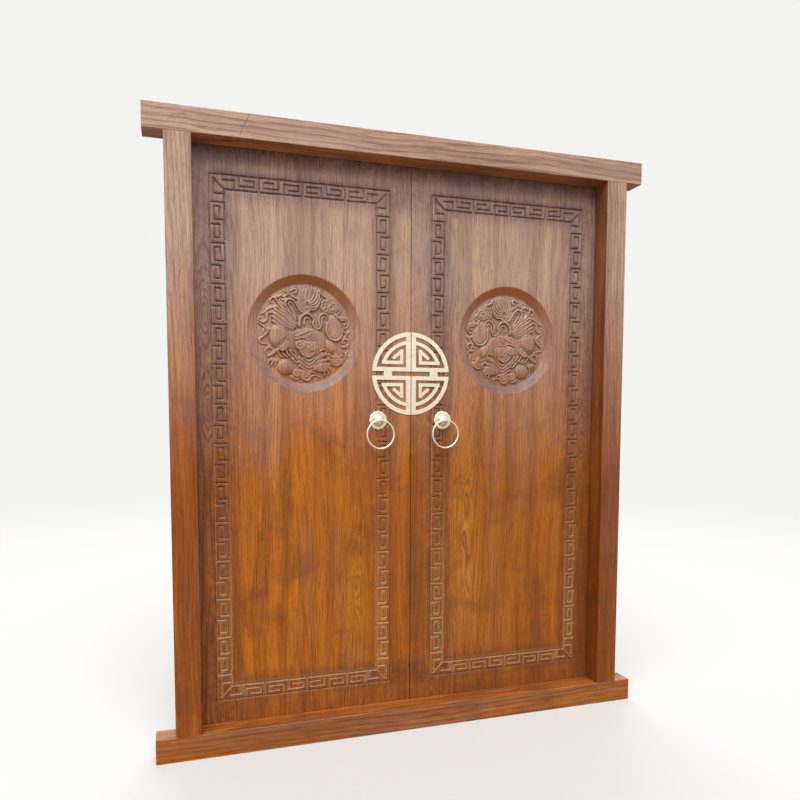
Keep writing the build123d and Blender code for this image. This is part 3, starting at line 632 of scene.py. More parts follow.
class Relief:
    """A height map in millimetres that shapes and cuts are laid on, one over the other."""

    def __init__(self):
        count = int(2 * RELIEF_HALF / RELIEF_STEP) + 1
        self.line = np.linspace(-RELIEF_HALF, RELIEF_HALF, count)
        self.height = np.zeros((count, count))

    def window(self, points, margin):
        """Rows and columns about some points, and the places of their cells."""
        low = np.searchsorted(self.line, points.min(0) - margin)
        high = np.searchsorted(self.line, points.max(0) + margin)
        rows, columns = slice(low[1], high[1]), slice(low[0], high[0])
        x, z = np.meshgrid(self.line[columns], self.line[rows])
        return rows, columns, x, z

    @staticmethod
    def distance(points, x, z):
        """Distance to a line, share of the way along it, and how much a place lies on the cut side."""
        best = np.full(x.shape, 1e9)
        along = np.zeros(x.shape)
        off = np.zeros((2, *x.shape))
        lengths = np.hypot(*(points[1:] - points[:-1]).T)
        total = max(lengths.sum(), 1e-6)
        done = 0.0
        for (ax, az), (bx, bz), length in zip(points, points[1:], lengths):
            if length < 1e-6:
                continue
            t = np.clip(((x - ax) * (bx - ax) + (z - az) * (bz - az)) / length ** 2, 0, 1)
            dx, dz = x - ax - t * (bx - ax), z - az - t * (bz - az)
            d = np.hypot(dx, dz)
            nearer = d < best
            best[nearer] = d[nearer]
            along[nearer] = ((done + t * length) / total)[nearer]
            off[0][nearer], off[1][nearer] = dx[nearer], dz[nearer]
            done += length
        under = (off[0] * CUT_SIDE[0] + off[1] * CUT_SIDE[1]) / np.maximum(best, 1e-6)
        return best, along, under

    @staticmethod
    def inside(points, x, z):
        """Whether places lie within a closed outline."""
        result = np.zeros(x.shape, bool)
        for (ax, az), (bx, bz) in zip(points, np.roll(points, -1, axis=0)):
            if az != bz:
                crossing = (az > z) != (bz > z)
                result ^= crossing & (x < (bx - ax) * (z - az) / (bz - az) + ax)
        return result

    @staticmethod
    def moat(area, outside, under):
        """Cuts what is there a little lower along the outside of a form, most under it."""
        share = np.clip(0.30 + 0.80 * under, 0.04, 1)
        cut = np.where(outside > 0, MOAT_DEPTH * share * np.clip(1 - outside / MOAT_WIDTH, 0, 1) ** 1.5, 0)
        area -= np.minimum(cut, np.clip(area + 0.6, 0, None))

    def mass(self, points, height, round_over):
        """A pillow with a closed outline, laid over what is there."""
        outline = smooth_line(sheet(points), closed=True)
        rows, columns, x, z = self.window(outline, 2 * round_over)
        area = self.height[rows, columns]
        edge, _, under = self.distance(np.concatenate([outline, outline[:1]]), x, z)
        inside = self.inside(outline, x, z)
        self.moat(area, np.where(inside, 0, edge), under)
        rise = np.clip(2 * blur(inside.astype(float), int(round_over / RELIEF_STEP / 2)) - 1, 0, 1)
        steep = np.clip(0.5 + 0.5 * under, 0, 1)
        form = height * (0.40 * steep + (1 - 0.40 * steep) * np.sqrt(rise)) * np.clip(edge, 0, 1)
        under_it = area * (1 - steep ** 2) + np.minimum(area, form + 1.2) * steep ** 2
        self.height[rows, columns] = np.where(inside, np.maximum(form, under_it), area)

    def strand(self, points, width, height, tip):
        """A ridge along a line that narrows to its end: steep at its cut side and soft at the other."""
        line = smooth_line(sheet(points))
        rows, columns, x, z = self.window(line, 2 * width + 4)
        area = self.height[rows, columns]
        away, along, under = self.distance(line, x, z)
        taper = 1 + (tip - 1) * along
        half = width / 2 * taper
        self.moat(area, away - half, under)
        reach = half * (1 + 1.5 * np.clip(-under, 0, 1))
        share = np.clip(1 - (away / np.maximum(reach, 0.3)) ** 2, 0, 1)
        steep = np.clip(0.5 + 0.5 * under, 0, 1)
        form = height * (0.6 + 0.4 * taper) * share ** (0.9 - 0.45 * steep)
        self.height[rows, columns] = np.where(away < reach, np.maximum(area, form), area)

    def cut(self, points, width):
        """An incised line, narrower at its ends."""
        line = smooth_line(sheet(points))
        rows, columns, x, z = self.window(line, width + 2)
        away, along, _ = self.distance(line, x, z)
        half = width / 2 * (1 - 0.4 * np.abs(2 * along - 1) ** 2)
        self.height[rows, columns] -= CUT_DEPTH * np.clip(1 - away / half, 0, 1)

    def curl(self, centre, radius, height, turns, start, way):
        """A spiral curl: a low mound with a ridge that winds into its own centre."""
        self.bead(centre, radius, height * 0.8, 0.35)
        angles = np.linspace(0, turns * 2 * math.pi, 26)
        radii = radius * (0.9 - angles / angles[-1] * 0.78)
        points = [(centre[0] + r * math.cos(start + way * a), centre[1] + r * math.sin(start + way * a))
                  for a, r in zip(angles, radii)]
        line = smooth_line(sheet(points))
        rows, columns, x, z = self.window(line, 6)
        away, along, _ = self.distance(line, x, z)
        wide = radius * CURL_WIDTH / SHEET_UNIT
        share = np.clip(1 - (away / (wide * (1 - 0.3 * along))) ** 2, 0, 1) ** 0.6
        area = self.height[rows, columns]
        middle = sheet([centre])[0]
        area -= 1.3 * (np.hypot(x - middle[0], z - middle[1]) < radius * 0.92 / SHEET_UNIT)
        ridge = np.maximum(area, height * (0.75 + 0.25 * share))
        self.height[rows, columns] = np.where(share > 0, ridge, area)

    def bead(self, centre, radius, height, bulge=0.8):
        """A small round ball that stands on what is there."""
        middle = sheet([centre])[0]
        size = radius / SHEET_UNIT
        rows, columns, x, z = self.window(middle[None], size + 6)
        away = np.hypot(x - middle[0], z - middle[1])
        area = self.height[rows, columns]
        under = ((x - middle[0]) * CUT_SIDE[0] + (z - middle[1]) * CUT_SIDE[1]) / np.maximum(away, 1e-6)
        self.moat(area, away - size, under)
        dome = height - size * bulge * (1 - np.sqrt(np.clip(1 - (away / size) ** 2, 0, 1)))
        self.height[rows, columns] = np.where(away < size, np.maximum(dome, area), area)

    def ball(self, centre, radius, height):
        """A raised ball with rings cut in it."""
        middle = sheet([centre])[0]
        size = radius / SHEET_UNIT
        self.bead(centre, radius, height, 0.42)
        rows, columns, x, z = self.window(middle[None], size)
        away = np.hypot(x - middle[0], z - middle[1])
        for share in (0.88, 0.72, 0.42, 0.2):
            ring = np.clip(1 - np.abs(away / size - share) * size / 1.5, 0, 1)
            self.height[rows, columns] -= 1.3 * ring * (away < size)


# Rounded masses from the lowest to the highest: outline, height and width of the rounded edge
MASSES = (
    # body with the brow
    (((300, 760), (312, 690), (350, 640), (450, 660), (560, 690), (640, 672), (760, 655), (850, 672),
      (918, 720), (955, 780), (1040, 812), (1072, 860), (1080, 930), (1040, 962), (980, 945), (930, 905),
      (880, 950), (800, 1000), (700, 1002), (640, 962), (560, 930), (500, 900), (440, 882), (380, 892),
      (320, 862)), 8.5, 24.0),
    # sleeve at the right
    (((962, 650), (972, 570), (1010, 512), (1060, 515), (1100, 560), (1132, 620), (1150, 690), (1142, 750),
      (1100, 792), (1040, 803), (985, 778), (955, 720)), 5.5, 22.0),
    # far leg
    (((1050, 900), (1090, 945), (1130, 990), (1165, 1000), (1150, 1045), (1100, 1077), (1050, 1087),
      (1000, 1062), (1010, 1010), (1030, 950)), 5.5, 11.0),
    (((930, 800), (990, 786), (1042, 818), (1062, 870), (1050, 932), (1010, 952), (960, 912), (934, 870)),
      11.5, 18.0),
    # near shoulder
    (((298, 720), (330, 640), (420, 620), (490, 660), (520, 730), (506, 798), (450, 842), (400, 857),
      (372, 887), (332, 872), (306, 830), (292, 770)), 12.5, 24.0),
    # mane
    (((330, 560), (345, 500), (400, 440), (395, 390), (370, 330), (412, 370), (450, 428), (505, 470),
      (560, 530), (612, 590), (612, 650), (560, 697), (480, 690), (410, 665), (355, 645), (333, 600)), 9.0,
      14.0),
    # foreleg
    (((510, 800), (542, 850), (520, 902), (450, 937), (395, 932), (330, 985), (270, 1006), (262, 984),
      (320, 930), (390, 885), (430, 850)), 10.5, 12.0),
    # fan
    (((600, 390), (622, 300), (660, 230), (720, 202), (790, 195), (850, 212), (885, 270), (885, 350),
      (865, 405), (820, 442), (765, 462), (715, 488), (660, 476), (620, 432)), 5.5, 12.0),
    # cloud
    (((885, 390), (905, 345), (950, 328), (1005, 345), (1060, 358), (1098, 400), (1092, 452), (1040, 486),
      (955, 484), (905, 442)), 3.6, 9.0),
    # chest and jaw folds
    (((600, 960), (700, 1000), (800, 985), (880, 930), (960, 930), (990, 960), (900, 1010), (830, 1060),
      (800, 1120), (740, 1130), (680, 1100), (620, 1040)), 6.0, 14.0),
    # muzzle and cheeks
    (((590, 800), (640, 778), (700, 800), (760, 800), (830, 812), (880, 860), (862, 930), (810, 985),
      (740, 1002), (680, 986), (635, 935), (585, 905), (568, 850)), 12.0, 14.0),
    # hind paw
    (((830, 1060), (900, 1040), (960, 1060), (985, 1090), (975, 1140), (940, 1165), (890, 1162),
      (840, 1152), (788, 1150), (788, 1110)), 8.5, 12.0),
    # near paw
    (((300, 1010), (340, 1000), (385, 1015), (392, 1050), (345, 1062), (300, 1045)), 7.0, 8.0),
    # lower curl
    (((648, 1150), (700, 1120), (785, 1150), (765, 1205), (732, 1237), (690, 1242), (652, 1205)), 6.0,
      10.0),
)

# Raised strips: line, width, height and width of the tip as a share
STRANDS = (
    # hair of the mane
    (((372, 345), (398, 400), (440, 445), (490, 470), (540, 510), (595, 565)), 8.0, 11.0, 0.5),
    (((385, 435), (440, 482), (490, 505), (540, 550), (602, 602)), 8.0, 11.0, 0.5),
    (((366, 474), (430, 512), (480, 545), (522, 592), (602, 628)), 8.0, 11.5, 0.5),
    (((352, 515), (405, 550), (455, 590), (500, 628), (592, 650)), 8.0, 11.5, 0.5),
    (((344, 556), (390, 590), (440, 625), (490, 656), (580, 670)), 8.0, 11.0, 0.5),
    (((340, 600), (385, 632), (440, 658), (500, 680), (570, 688)), 7.0, 10.0, 0.5),
    # long loop and the bowl under the fan
    (((600, 570), (550, 515), (510, 460), (484, 415), (488, 368), (525, 345), (565, 355), (600, 395),
      (625, 440), (660, 478), (705, 490), (750, 477), (772, 442), (755, 402), (722, 385), (694, 402),
      (697, 432), (722, 440)), 8.0, 9.5, 0.6),
    (((600, 540), (560, 480), (530, 430), (520, 390), (540, 375), (570, 400), (600, 450), (640, 500)), 6.5,
      6.5, 0.5),
    # feathers of the fan
    (((690, 402), (650, 350), (640, 285), (660, 228)), 8.5, 8.0, 0.5),
    (((700, 388), (674, 325), (682, 262), (702, 210)), 8.5, 8.5, 0.5),
    (((716, 374), (708, 318), (722, 258), (744, 202)), 8.5, 9.5, 0.5),
    (((736, 366), (752, 320), (772, 266), (786, 200)), 9.0, 10.0, 0.5),
    (((748, 372), (786, 335), (812, 285), (828, 212)), 9.0, 10.5, 0.5),
    (((756, 388), (806, 362), (842, 312), (858, 240)), 9.0, 10.5, 0.5),
    (((764, 408), (818, 392), (860, 346), (880, 280)), 9.0, 10.0, 0.5),
    (((768, 430), (828, 424), (868, 388), (890, 330)), 9.0, 9.5, 0.5),
    (((764, 456), (820, 452), (858, 424), (880, 388)), 8.0, 8.0, 0.4),
    # arch and crescents over the back
    (((640, 640), (650, 565), (685, 516), (735, 500), (780, 520), (808, 568), (800, 610), (815, 650),
      (850, 670), (885, 652), (905, 600)), 9.5, 9.5, 0.5),
    (((880, 630), (868, 568), (885, 520), (925, 493), (968, 505), (990, 560)), 9.0, 7.5, 0.3),
    (((905, 600), (905, 552), (935, 530), (962, 556)), 7.0, 5.5, 0.4),
    (((698, 620), (704, 566), (735, 545), (766, 566), (772, 612)), 7.0, 6.0, 0.4),
    (((640, 640), (622, 612), (636, 588)), 7.0, 7.0, 0.4),
    # rims of the sleeve
    (((962, 610), (958, 700), (990, 765), (1045, 790), (1105, 778), (1145, 725), (1150, 660)), 8.5, 9.5,
      0.5),
    (((990, 640), (990, 700), (1015, 742), (1055, 758), (1098, 742), (1120, 700), (1118, 640)), 6.5, 8.0,
      0.4),
    # flames at the left rim
    (((385, 372), (365, 335), (330, 340), (312, 370), (325, 398), (350, 400)), 9.0, 6.0, 0.35),
    (((400, 452), (340, 446), (285, 468), (245, 502), (192, 524)), 13.0, 7.0, 0.2),
    (((340, 500), (290, 505), (258, 545)), 10.0, 5.0, 0.3),
    (((272, 530), (268, 582), (235, 608), (195, 602), (172, 574), (197, 556)), 9.5, 6.0, 0.3),
    (((278, 705), (245, 668), (205, 640), (160, 612)), 12.0, 6.5, 0.2),
    (((298, 688), (265, 735), (225, 770), (186, 804), (196, 842), (240, 852), (292, 862)), 10.5, 6.5, 0.3),
    (((305, 880), (276, 900), (254, 938), (276, 978)), 9.0, 5.0, 0.3),
    (((236, 700), (214, 738), (186, 752)), 8.0, 5.0, 0.2),
    (((318, 900), (340, 930), (300, 960)), 8.0, 4.5, 0.3),
    # wisps at the top left
    (((398, 325), (430, 305), (462, 320), (500, 300), (524, 270), (505, 240)), 8.0, 6.0, 0.3),
    (((600, 275), (612, 245), (588, 226), (552, 246), (510, 258)), 8.5, 6.0, 0.3),
    (((655, 355), (600, 330), (560, 308), (524, 274)), 9.5, 6.5, 0.3),
    (((515, 292), (490, 262), (452, 246)), 7.5, 5.0, 0.2),
    (((485, 345), (455, 356), (418, 336)), 8.0, 5.0, 0.2),
    (((440, 300), (425, 280), (440, 262)), 6.0, 4.5, 0.2),
    # ridge and scrolls of the cloud
    (((878, 246), (920, 286), (970, 303), (1010, 333), (1060, 358), (1092, 404)), 8.5, 6.0, 0.4),
    (((1085, 420), (1114, 440), (1114, 472), (1090, 494)), 8.0, 5.0, 0.3),
    (((905, 402), (908, 364), (940, 346), (966, 366), (952, 396), (930, 388)), 6.5, 7.0, 0.4),
    (((962, 346), (992, 348), (1006, 376), (984, 400), (964, 392)), 6.5, 7.0, 0.4),
    (((985, 424), (1000, 396), (1036, 400), (1044, 434), (1018, 456), (998, 438)), 7.0, 7.5, 0.4),
    (((926, 444), (950, 418), (976, 436), (968, 466), (936, 466)), 6.5, 6.5, 0.4),
    (((1026, 370), (1060, 376), (1076, 408), (1056, 432)), 7.0, 6.5, 0.3),
    (((1048, 442), (1084, 448), (1098, 482)), 7.0, 5.5, 0.3),
    (((896, 424), (912, 456), (946, 484)), 7.0, 5.5, 0.3),
    (((940, 300), (965, 325), (1004, 326)), 6.0, 5.0, 0.3),
    # scrolls at the right rim
    (((1072, 505), (1100, 535), (1150, 530), (1194, 540), (1218, 582), (1210, 624), (1178, 652),
      (1138, 634), (1112, 596)), 8.5, 6.5, 0.4),
    (((1140, 560), (1180, 560), (1192, 592), (1168, 612), (1148, 596)), 7.0, 6.5, 0.4),
    (((1160, 688), (1194, 716), (1180, 750), (1148, 764)), 8.0, 5.5, 0.3),
    (((1222, 694), (1192, 726)), 8.0, 5.0, 0.3),
    (((1152, 820), (1158, 786), (1192, 776), (1222, 800), (1218, 836), (1188, 852), (1166, 834),
      (1180, 808)), 8.0, 6.5, 0.4),
    (((1156, 868), (1200, 866), (1219, 900), (1190, 934), (1162, 920)), 8.0, 5.5, 0.3),
    (((1196, 944), (1182, 1000), (1146, 1044)), 8.0, 5.5, 0.3),
    # brow, nose and muzzle
    (((606, 758), (668, 730), (722, 706), (800, 680)), 9.5, 12.0, 0.3),
    (((604, 790), (655, 772), (706, 780), (734, 804)), 8.5, 13.0, 0.4),
    (((760, 730), (740, 760), (716, 768)), 8.0, 12.0, 0.4),
    (((668, 850), (698, 880), (716, 918), (748, 932), (786, 920)), 9.0, 15.0, 0.5),
    (((648, 925), (676, 968), (730, 990), (790, 968), (822, 922)), 9.5, 13.5, 0.6),
    (((690, 836), (712, 868), (744, 872), (768, 842)), 8.0, 14.5, 0.6),
    (((820, 826), (856, 850), (852, 900)), 8.0, 12.5, 0.4),
    # whiskers and folds of the jaw
    (((690, 1002), (742, 1036), (782, 1020), (832, 960), (885, 912)), 9.0, 10.0, 0.5),
    (((635, 1000), (690, 1042), (745, 1076), (792, 1056), (832, 1012), (882, 986), (942, 966), (996, 942)),
      10.0, 9.5, 0.4),
    (((632, 1045), (690, 1082), (745, 1112), (800, 1092), (850, 1046), (902, 1026), (966, 1008)), 9.5, 8.5,
      0.4),
    (((648, 1094), (706, 1130), (760, 1146), (806, 1124)), 9.0, 7.0, 0.4),
    (((880, 915), (932, 895), (958, 926), (926, 960), (872, 976), (850, 1000)), 7.0, 9.0, 0.5),
    # tufts under the foreleg
    (((392, 940), (420, 985), (462, 996)), 9.0, 7.5, 0.3),
    (((436, 928), (466, 976), (508, 990)), 9.0, 8.0, 0.3),
    (((486, 922), (514, 968), (556, 986)), 9.0, 8.5, 0.3),
    (((534, 926), (562, 964), (604, 984)), 9.0, 8.5, 0.3),
    (((582, 930), (606, 966), (648, 992)), 9.0, 8.5, 0.3),
    (((560, 1010), (590, 1046), (634, 1060)), 8.5, 7.0, 0.3),
    (((598, 998), (620, 1028), (652, 1044)), 8.0, 7.5, 0.3),
    # waves at the lower right
    (((985, 1000), (1030, 1040), (1062, 1078), (1110, 1066), (1156, 1036)), 9.0, 7.0, 0.4),
    (((1046, 1042), (1082, 1016), (1132, 1010)), 8.0, 7.5, 0.3),
    (((985, 960), (1040, 985), (1100, 985), (1150, 960)), 8.5, 6.0, 0.3),
    (((1062, 1050), (1092, 1040), (1112, 1052)), 7.0, 7.0, 0.4),
    # scroll at the foot
    (((640, 1175), (662, 1220), (702, 1250), (742, 1250), (780, 1208), (820, 1194), (868, 1214)), 9.5, 6.5,
      0.3),
    (((655, 1150), (690, 1205), (722, 1212), (752, 1172), (790, 1160), (832, 1174)), 8.0, 7.5, 0.4),
    (((556, 1222), (600, 1243), (650, 1220)), 10.0, 5.0, 0.3),
    # claws
    (((322, 1020), (290, 1040), (280, 1076)), 8.5, 7.5, 0.3),
    (((348, 1032), (322, 1066), (314, 1098)), 8.5, 7.5, 0.3),
    (((374, 1032), (358, 1070), (354, 1102)), 8.0, 7.0, 0.3),
    (((945, 1066), (985, 1080), (1004, 1114)), 9.0, 8.5, 0.3),
    (((955, 1096), (992, 1118), (998, 1152)), 9.0, 9.0, 0.3),
    (((940, 1126), (975, 1150), (974, 1184)), 9.0, 9.0, 0.3),
    (((908, 1140), (934, 1168), (928, 1196)), 8.5, 8.5, 0.3),
    # folds of the foreleg
    (((484, 826), (504, 870), (474, 905), (420, 918)), 8.0, 12.0, 0.4),
)

# Spiral curls: centre, radius, height, turns, start and way
CURLS = (
    ((636, 850), 54, 14.0, 1.35, 0.2, 1),
    ((784, 872), 48, 14.5, 1.35, 3.0, -1),
    ((438, 888), 34, 12.5, 1.4, 0.5, 1),
    ((604, 1162), 44, 7.5, 1.4, 1.0, 1),
)

# Small balls: centre, radius and height
BEADS = tuple(((836 + 21 * k, 1066 - 8 * k), 10, 7.5) for k in range(8))

# The ball under the near paw: centre, radius and height
BALL = (475, 1104), 92, 11.5

# Incised lines: their depth, then points and width
CUT_DEPTH = 1.6
CUTS = (
    (((318, 1000), (352, 1010)), 2.6),
    (((880, 1090), (925, 1098), (950, 1090)), 3.0),
    (((870, 1115), (915, 1125), (940, 1118)), 3.0),
    (((1040, 560), (1048, 640), (1045, 700)), 2.2),
    (((1015, 590), (1018, 640), (1024, 690)), 2.2),
    (((1072, 590), (1080, 640), (1076, 690)), 2.2),
)


def medallion_relief():
    """Height of the beast and its clouds over the floor of the medallion, and how hollow each place is."""
    relief = Relief()
    for mass in MASSES:
        relief.mass(*mass)
    for strand in STRANDS:
        relief.strand(*strand)
    for curl in CURLS:
        relief.curl(*curl)
    for bead in BEADS:
        relief.bead(*bead)
    relief.ball(*BALL)
    for cut in CUTS:
        relief.cut(*cut)
    swell = 0.5 * blur(relief.height, 12) * np.clip(1 - relief.height / 7, 0, 1.1)
    height = blur(relief.height + swell, 1)
    hollow = np.clip((blur(height, 6) - height) / 2.6, -1, 1)
    return relief.line, height, hollow


def blur(field, reach):
    """The field averaged over a square of 2 reach + 1 cells, twice."""
    for _ in range(2):
        for axis in (0, 1):
            padded = np.pad(field, [(reach + 1, reach) if a == axis else (0, 0) for a in (0, 1)], mode="edge")
            total = np.cumsum(padded, axis=axis)
            wide = 2 * reach + 1
            upper = np.take(total, range(wide, total.shape[axis]), axis=axis)
            lower = np.take(total, range(total.shape[axis] - wide), axis=axis)
            field = (upper - lower) / wide
    return field


def sample(line, field, x, z):
    """The field at any places, straight between its cells."""
    step = line[1] - line[0]
    u = np.clip((x - line[0]) / step, 0, len(line) - 1.001)
    v = np.clip((z - line[0]) / step, 0, len(line) - 1.001)
    i, j = u.astype(int), v.astype(int)
    fu, fv = u - i, v - j
    return ((field[j, i] * (1 - fu) + field[j, i + 1] * fu) * (1 - fv)
            + (field[j + 1, i] * (1 - fu) + field[j + 1, i + 1] * fu) * fv)


# Carved boards

# Mesh lines beside the middle of a cut, first step from a board's edges, and the least step kept
GUARDS = (-4.4, -3.1, -1.5, 0.0, 1.5, 3.1, 4.4)
EDGE_STEP, LEAST_STEP = 0.9, 0.7
# Mesh step at the mitres of the fret, soft edge of a board, and turn of the leaf's round edge
CORNER_STEP = 2.4
ARRIS = 0.5
EDGE_TURN = np.radians(np.linspace(0, 90, 8))
# How far from a cut its marks reach, and the heights over which the rubbed edges fade out
CUT_MARGIN = 8
WORN_TOP, WORN_FADE = 1050, 600
# Share of dark stain by leaf: along the inner and outer bands of the fret and at the meeting edges
INNER_STAIN = {-1: 0.35, 1: 0.85}
OUTER_STAIN = {-1: 0.80, 1: 0.62}
MEETING_STAIN = {-1: 0.0, 1: 0.40}
LEVEL_STAIN, BACK_STAIN = 0.80, 0.25
STAIN_REACH = 34


def grid_lines(low, high, centres, spans, coarse):
    """Mesh lines over one direction: close by the cuts and in the fine spans, wide elsewhere."""
    wanted = [low, low + EDGE_STEP, high - EDGE_STEP, high]
    for centre in centres:
        wanted += [centre + guard for guard in GUARDS]
    for start, end, step in spans:
        start, end = max(start, low), min(end, high)
        if end > start:
            wanted += list(np.linspace(start, end, max(2, int((end - start) / step) + 1)))
    wanted = sorted(value for value in wanted if low <= value <= high)
    kept = [wanted[0]]
    for value in wanted[1:]:
        if value - kept[-1] > LEAST_STEP:
            kept.append(value)
    kept[-1] = high
    filled = []
    for a, b in zip(kept, kept[1:]):
        filled += list(np.linspace(a, b, max(2, math.ceil((b - a) / coarse) + 1)))[:-1]
    return np.array(filled + [high])


class LeafCarving:
    """Depth and wear of the front of one leaf at any place, in millimetres."""

    def __init__(self, settings):
        self.cuts = fret_channels()
        self.half = settings.groove_half / MM
        self.depth = settings.groove_depth / MM
        self.relief_scale = settings.relief
        self.wander = settings.wander / MM
        self.line, self.relief, self.hollow = medallion_relief()
        self.slope = np.gradient(self.relief, RELIEF_STEP, axis=0)

    def straight_cuts(self, near, far):
        """Places of the upright and level cuts that cross a board."""
        upright, level = set(), set()
        for (a0, z0), (a1, z1) in self.cuts:
            if min(a0, a1) < far + 5 and max(a0, a1) > near - 5:
                if abs(a0 - a1) < 0.01:
                    upright.add(round(a0, 2))
                elif abs(z0 - z1) < 0.01:
                    level.add(round(z0, 2))
        return sorted(upright), sorted(level)

    def channels(self, columns, rows, a, z):
        """Share of their full depth, painted shade and rub of the channels of the fret."""
        groove, dirt, rub = (np.zeros(a.shape) for _ in range(3))
        for (a0, z0), (a1, z1) in self.cuts:
            i0, i1 = np.searchsorted(columns, (min(a0, a1) - CUT_MARGIN, max(a0, a1) + CUT_MARGIN))
            j0, j1 = np.searchsorted(rows, (min(z0, z1) - CUT_MARGIN, max(z0, z1) + CUT_MARGIN))
            if i0 == i1 or j0 == j1:
                continue
            patch = slice(j0, j1), slice(i0, i1)
            away, _, _ = Relief.distance(np.array([(a0, z0), (a1, z1)]), a[patch], z[patch])
            fill = 1 - (1 - np.clip(1 - away / self.half, 0, 1)) ** 2
            # Painted shade in and just beside a cut: level cuts, shaded by their upper walls, get more than
            # upright ones
            smudge = 0.75 * np.clip(1 - away / (2.2 * self.half), 0, 1)
            cut_shade = (0.55 if a0 == a1 else 1.0) * np.maximum(fill, smudge)
            worn = np.maximum(np.clip(1 - np.abs(away - self.half) / 1.8, 0, 1), 0.45 * fill)
            worn *= 0.85 * np.clip((WORN_TOP - z0) / WORN_FADE, 0.08, 1)
            for field, mark in ((groove, fill), (dirt, cut_shade), (rub, worn)):
                field[patch] = np.maximum(field[patch], mark)
        rub *= (a > FRET_NEAR) & (a < FRET_FAR) & (z > FRET_LOW) & (z < FRET_HIGH)
        return groove, dirt, rub

    def dish(self, x, h):
        """Depth, painted shade in the hollows and at the rim, rub, and lean of the dish and its relief, from
        places about its middle. Lean above nought is how much a place faces down, below nought how much it
        faces up; it steers painted shade and a painted sky reflection.
        """
        radius = np.hypot(x, h)
        fade = np.clip((FIELD_RADIUS - radius) / 3, 0, 1)
        fields = (self.relief, self.hollow, self.slope)
        height, hollow, slope = (sample(self.line, field, x, h) for field in fields)
        depth = DISH_DEPTH * np.clip((DISH_RADIUS - radius) / (DISH_RADIUS - FIELD_RADIUS), 0, 1)
        depth -= np.clip(height * self.relief_scale, -1.5, 14) * fade
        rim = np.clip(1 - np.abs(radius - FIELD_RADIUS) / 3.0, 0, 1)
        # Painted shade in the relief's hollows and along the crease at the field's rim
        dirt = np.maximum(np.clip(hollow, 0, 1) * fade, 0.25 * rim)
        bevel = np.clip((DISH_RADIUS + 2 - radius) / 5, 0, 1) * np.clip((radius - FIELD_RADIUS) / 5, 0, 1)
        # Painted shade and reflection by facing: the bevel faces down at its top and up at its bottom, and so
        # do the relief's slopes
        lean = bevel * h / np.maximum(radius, 1) + np.clip(0.75 * slope, -1, 1) * fade
        return depth, dirt, np.clip(-hollow, 0, 1) * fade, lean

    def stain(self, a, z, side):
        """Dark stain along the bands of the fret and at the edges of the leaf, the dish a little darker, and
        a painted shadow of the head beam at the top of the leaf.
        """
        above = np.maximum(z - FRET_HIGH, 0)
        half = FRET_BAND / 2
        bands = ((a - FRET_NEAR - half, above, INNER_STAIN[side]),
                 (a - FRET_FAR + half, above, OUTER_STAIN[side]),
                 (z - FRET_LOW - half, 0, LEVEL_STAIN),
                 (z - FRET_HIGH + half, 0, LEVEL_STAIN))
        shares = [share * np.exp(-((np.maximum(np.abs(away) - half, 0) + beyond) / STAIN_REACH) ** 2)
                  for away, beyond, share in bands]
        # The pivot edge, the top with the painted shadow of the head beam, the foot, the meeting edge and the
        # dish
        shares.append(0.66 * np.clip((a - 730) / 60, 0, 1))
        shares.append(0.85 * np.exp(-((z - LEAF_TOP) / 80) ** 2))
        shares.append(0.50 * np.clip((FRET_LOW - z) / 40, 0, 1))
        shares.append(MEETING_STAIN[side] * np.clip((FRET_NEAR - a) / 30, 0, 1))
        shares.append(0.20 * (np.hypot(a - MEDALLION_PLACE, z - MEDALLION_LEVEL) < DISH_RADIUS + 4))
        return np.maximum.reduce(shares)

    def surface(self, columns, rows, side):
        """Depth, and the shares of painted shade (with the painted shadow of the head beam), rub, stain and
        lean for painted shade and reflection, on a grid.
        """
        a, z = np.meshgrid(columns, rows)
        groove, fret_shade, fret_rub = self.channels(columns, rows, a, z)
        dish_depth, dish_shade, dish_rub, lean = self.dish(MEDALLION_PLACE - a, z - MEDALLION_LEVEL)
        shadow = 0.75 * np.exp(-((z - LEAF_TOP) / 48) ** 2)
        return groove * self.depth + dish_depth, {
            "painted_shade": np.maximum.reduce([fret_shade, dish_shade, shadow]),
            "rub": np.maximum(fret_rub, dish_rub),
            "stain": self.stain(a, z, side),
            "lean": lean,
        }


def back_outline():
    """The back of a board from the bottom to the top, as depth and height."""
    root = LEAF_BACK - BATTEN_ROOT
    points = [(LEAF_BACK, LEAF_BOTTOM)]
    for level in BATTEN_LEVELS:
        points += [(LEAF_BACK, level - BATTEN_NECK), (root, level - BATTEN_HALF),
                   (root, level + BATTEN_HALF), (LEAF_BACK, level + BATTEN_NECK)]
    return points + [(LEAF_BACK, LEAF_TOP)]


def board_grid(near, far, outer, carving, settings):
    """Mesh columns and rows of a board's front. The outer board's columns go on round the leaf's edge."""
    upright, level = carving.straight_cuts(near, far)
    fine, coarse = settings.fine_step / MM, settings.plain_step / MM
    reach = DISH_RADIUS + 2
    dish = (MEDALLION_PLACE - reach, MEDALLION_PLACE + reach, fine)
    sides = ((FRET_NEAR, FRET_NEAR + FRET_BAND, CORNER_STEP), (FRET_FAR - FRET_BAND, FRET_FAR, CORNER_STEP))
    columns = grid_lines(near, PIVOT_PLACE if outer else far, upright, (dish, *sides), coarse)
    if outer:
        columns = np.concatenate([columns, PIVOT_PLACE + EDGE_RADIUS * np.sin(EDGE_TURN[1:])])
    spans = [(FRET_LOW, FRET_LOW + FRET_BAND, CORNER_STEP), (FRET_HIGH - FRET_BAND, FRET_HIGH, CORNER_STEP)]
    if near < dish[1] and far > dish[0]:
        spans.append((MEDALLION_LEVEL - reach, MEDALLION_LEVEL + reach, fine))
    return columns, grid_lines(LEAF_BOTTOM, LEAF_TOP, level, spans, coarse)


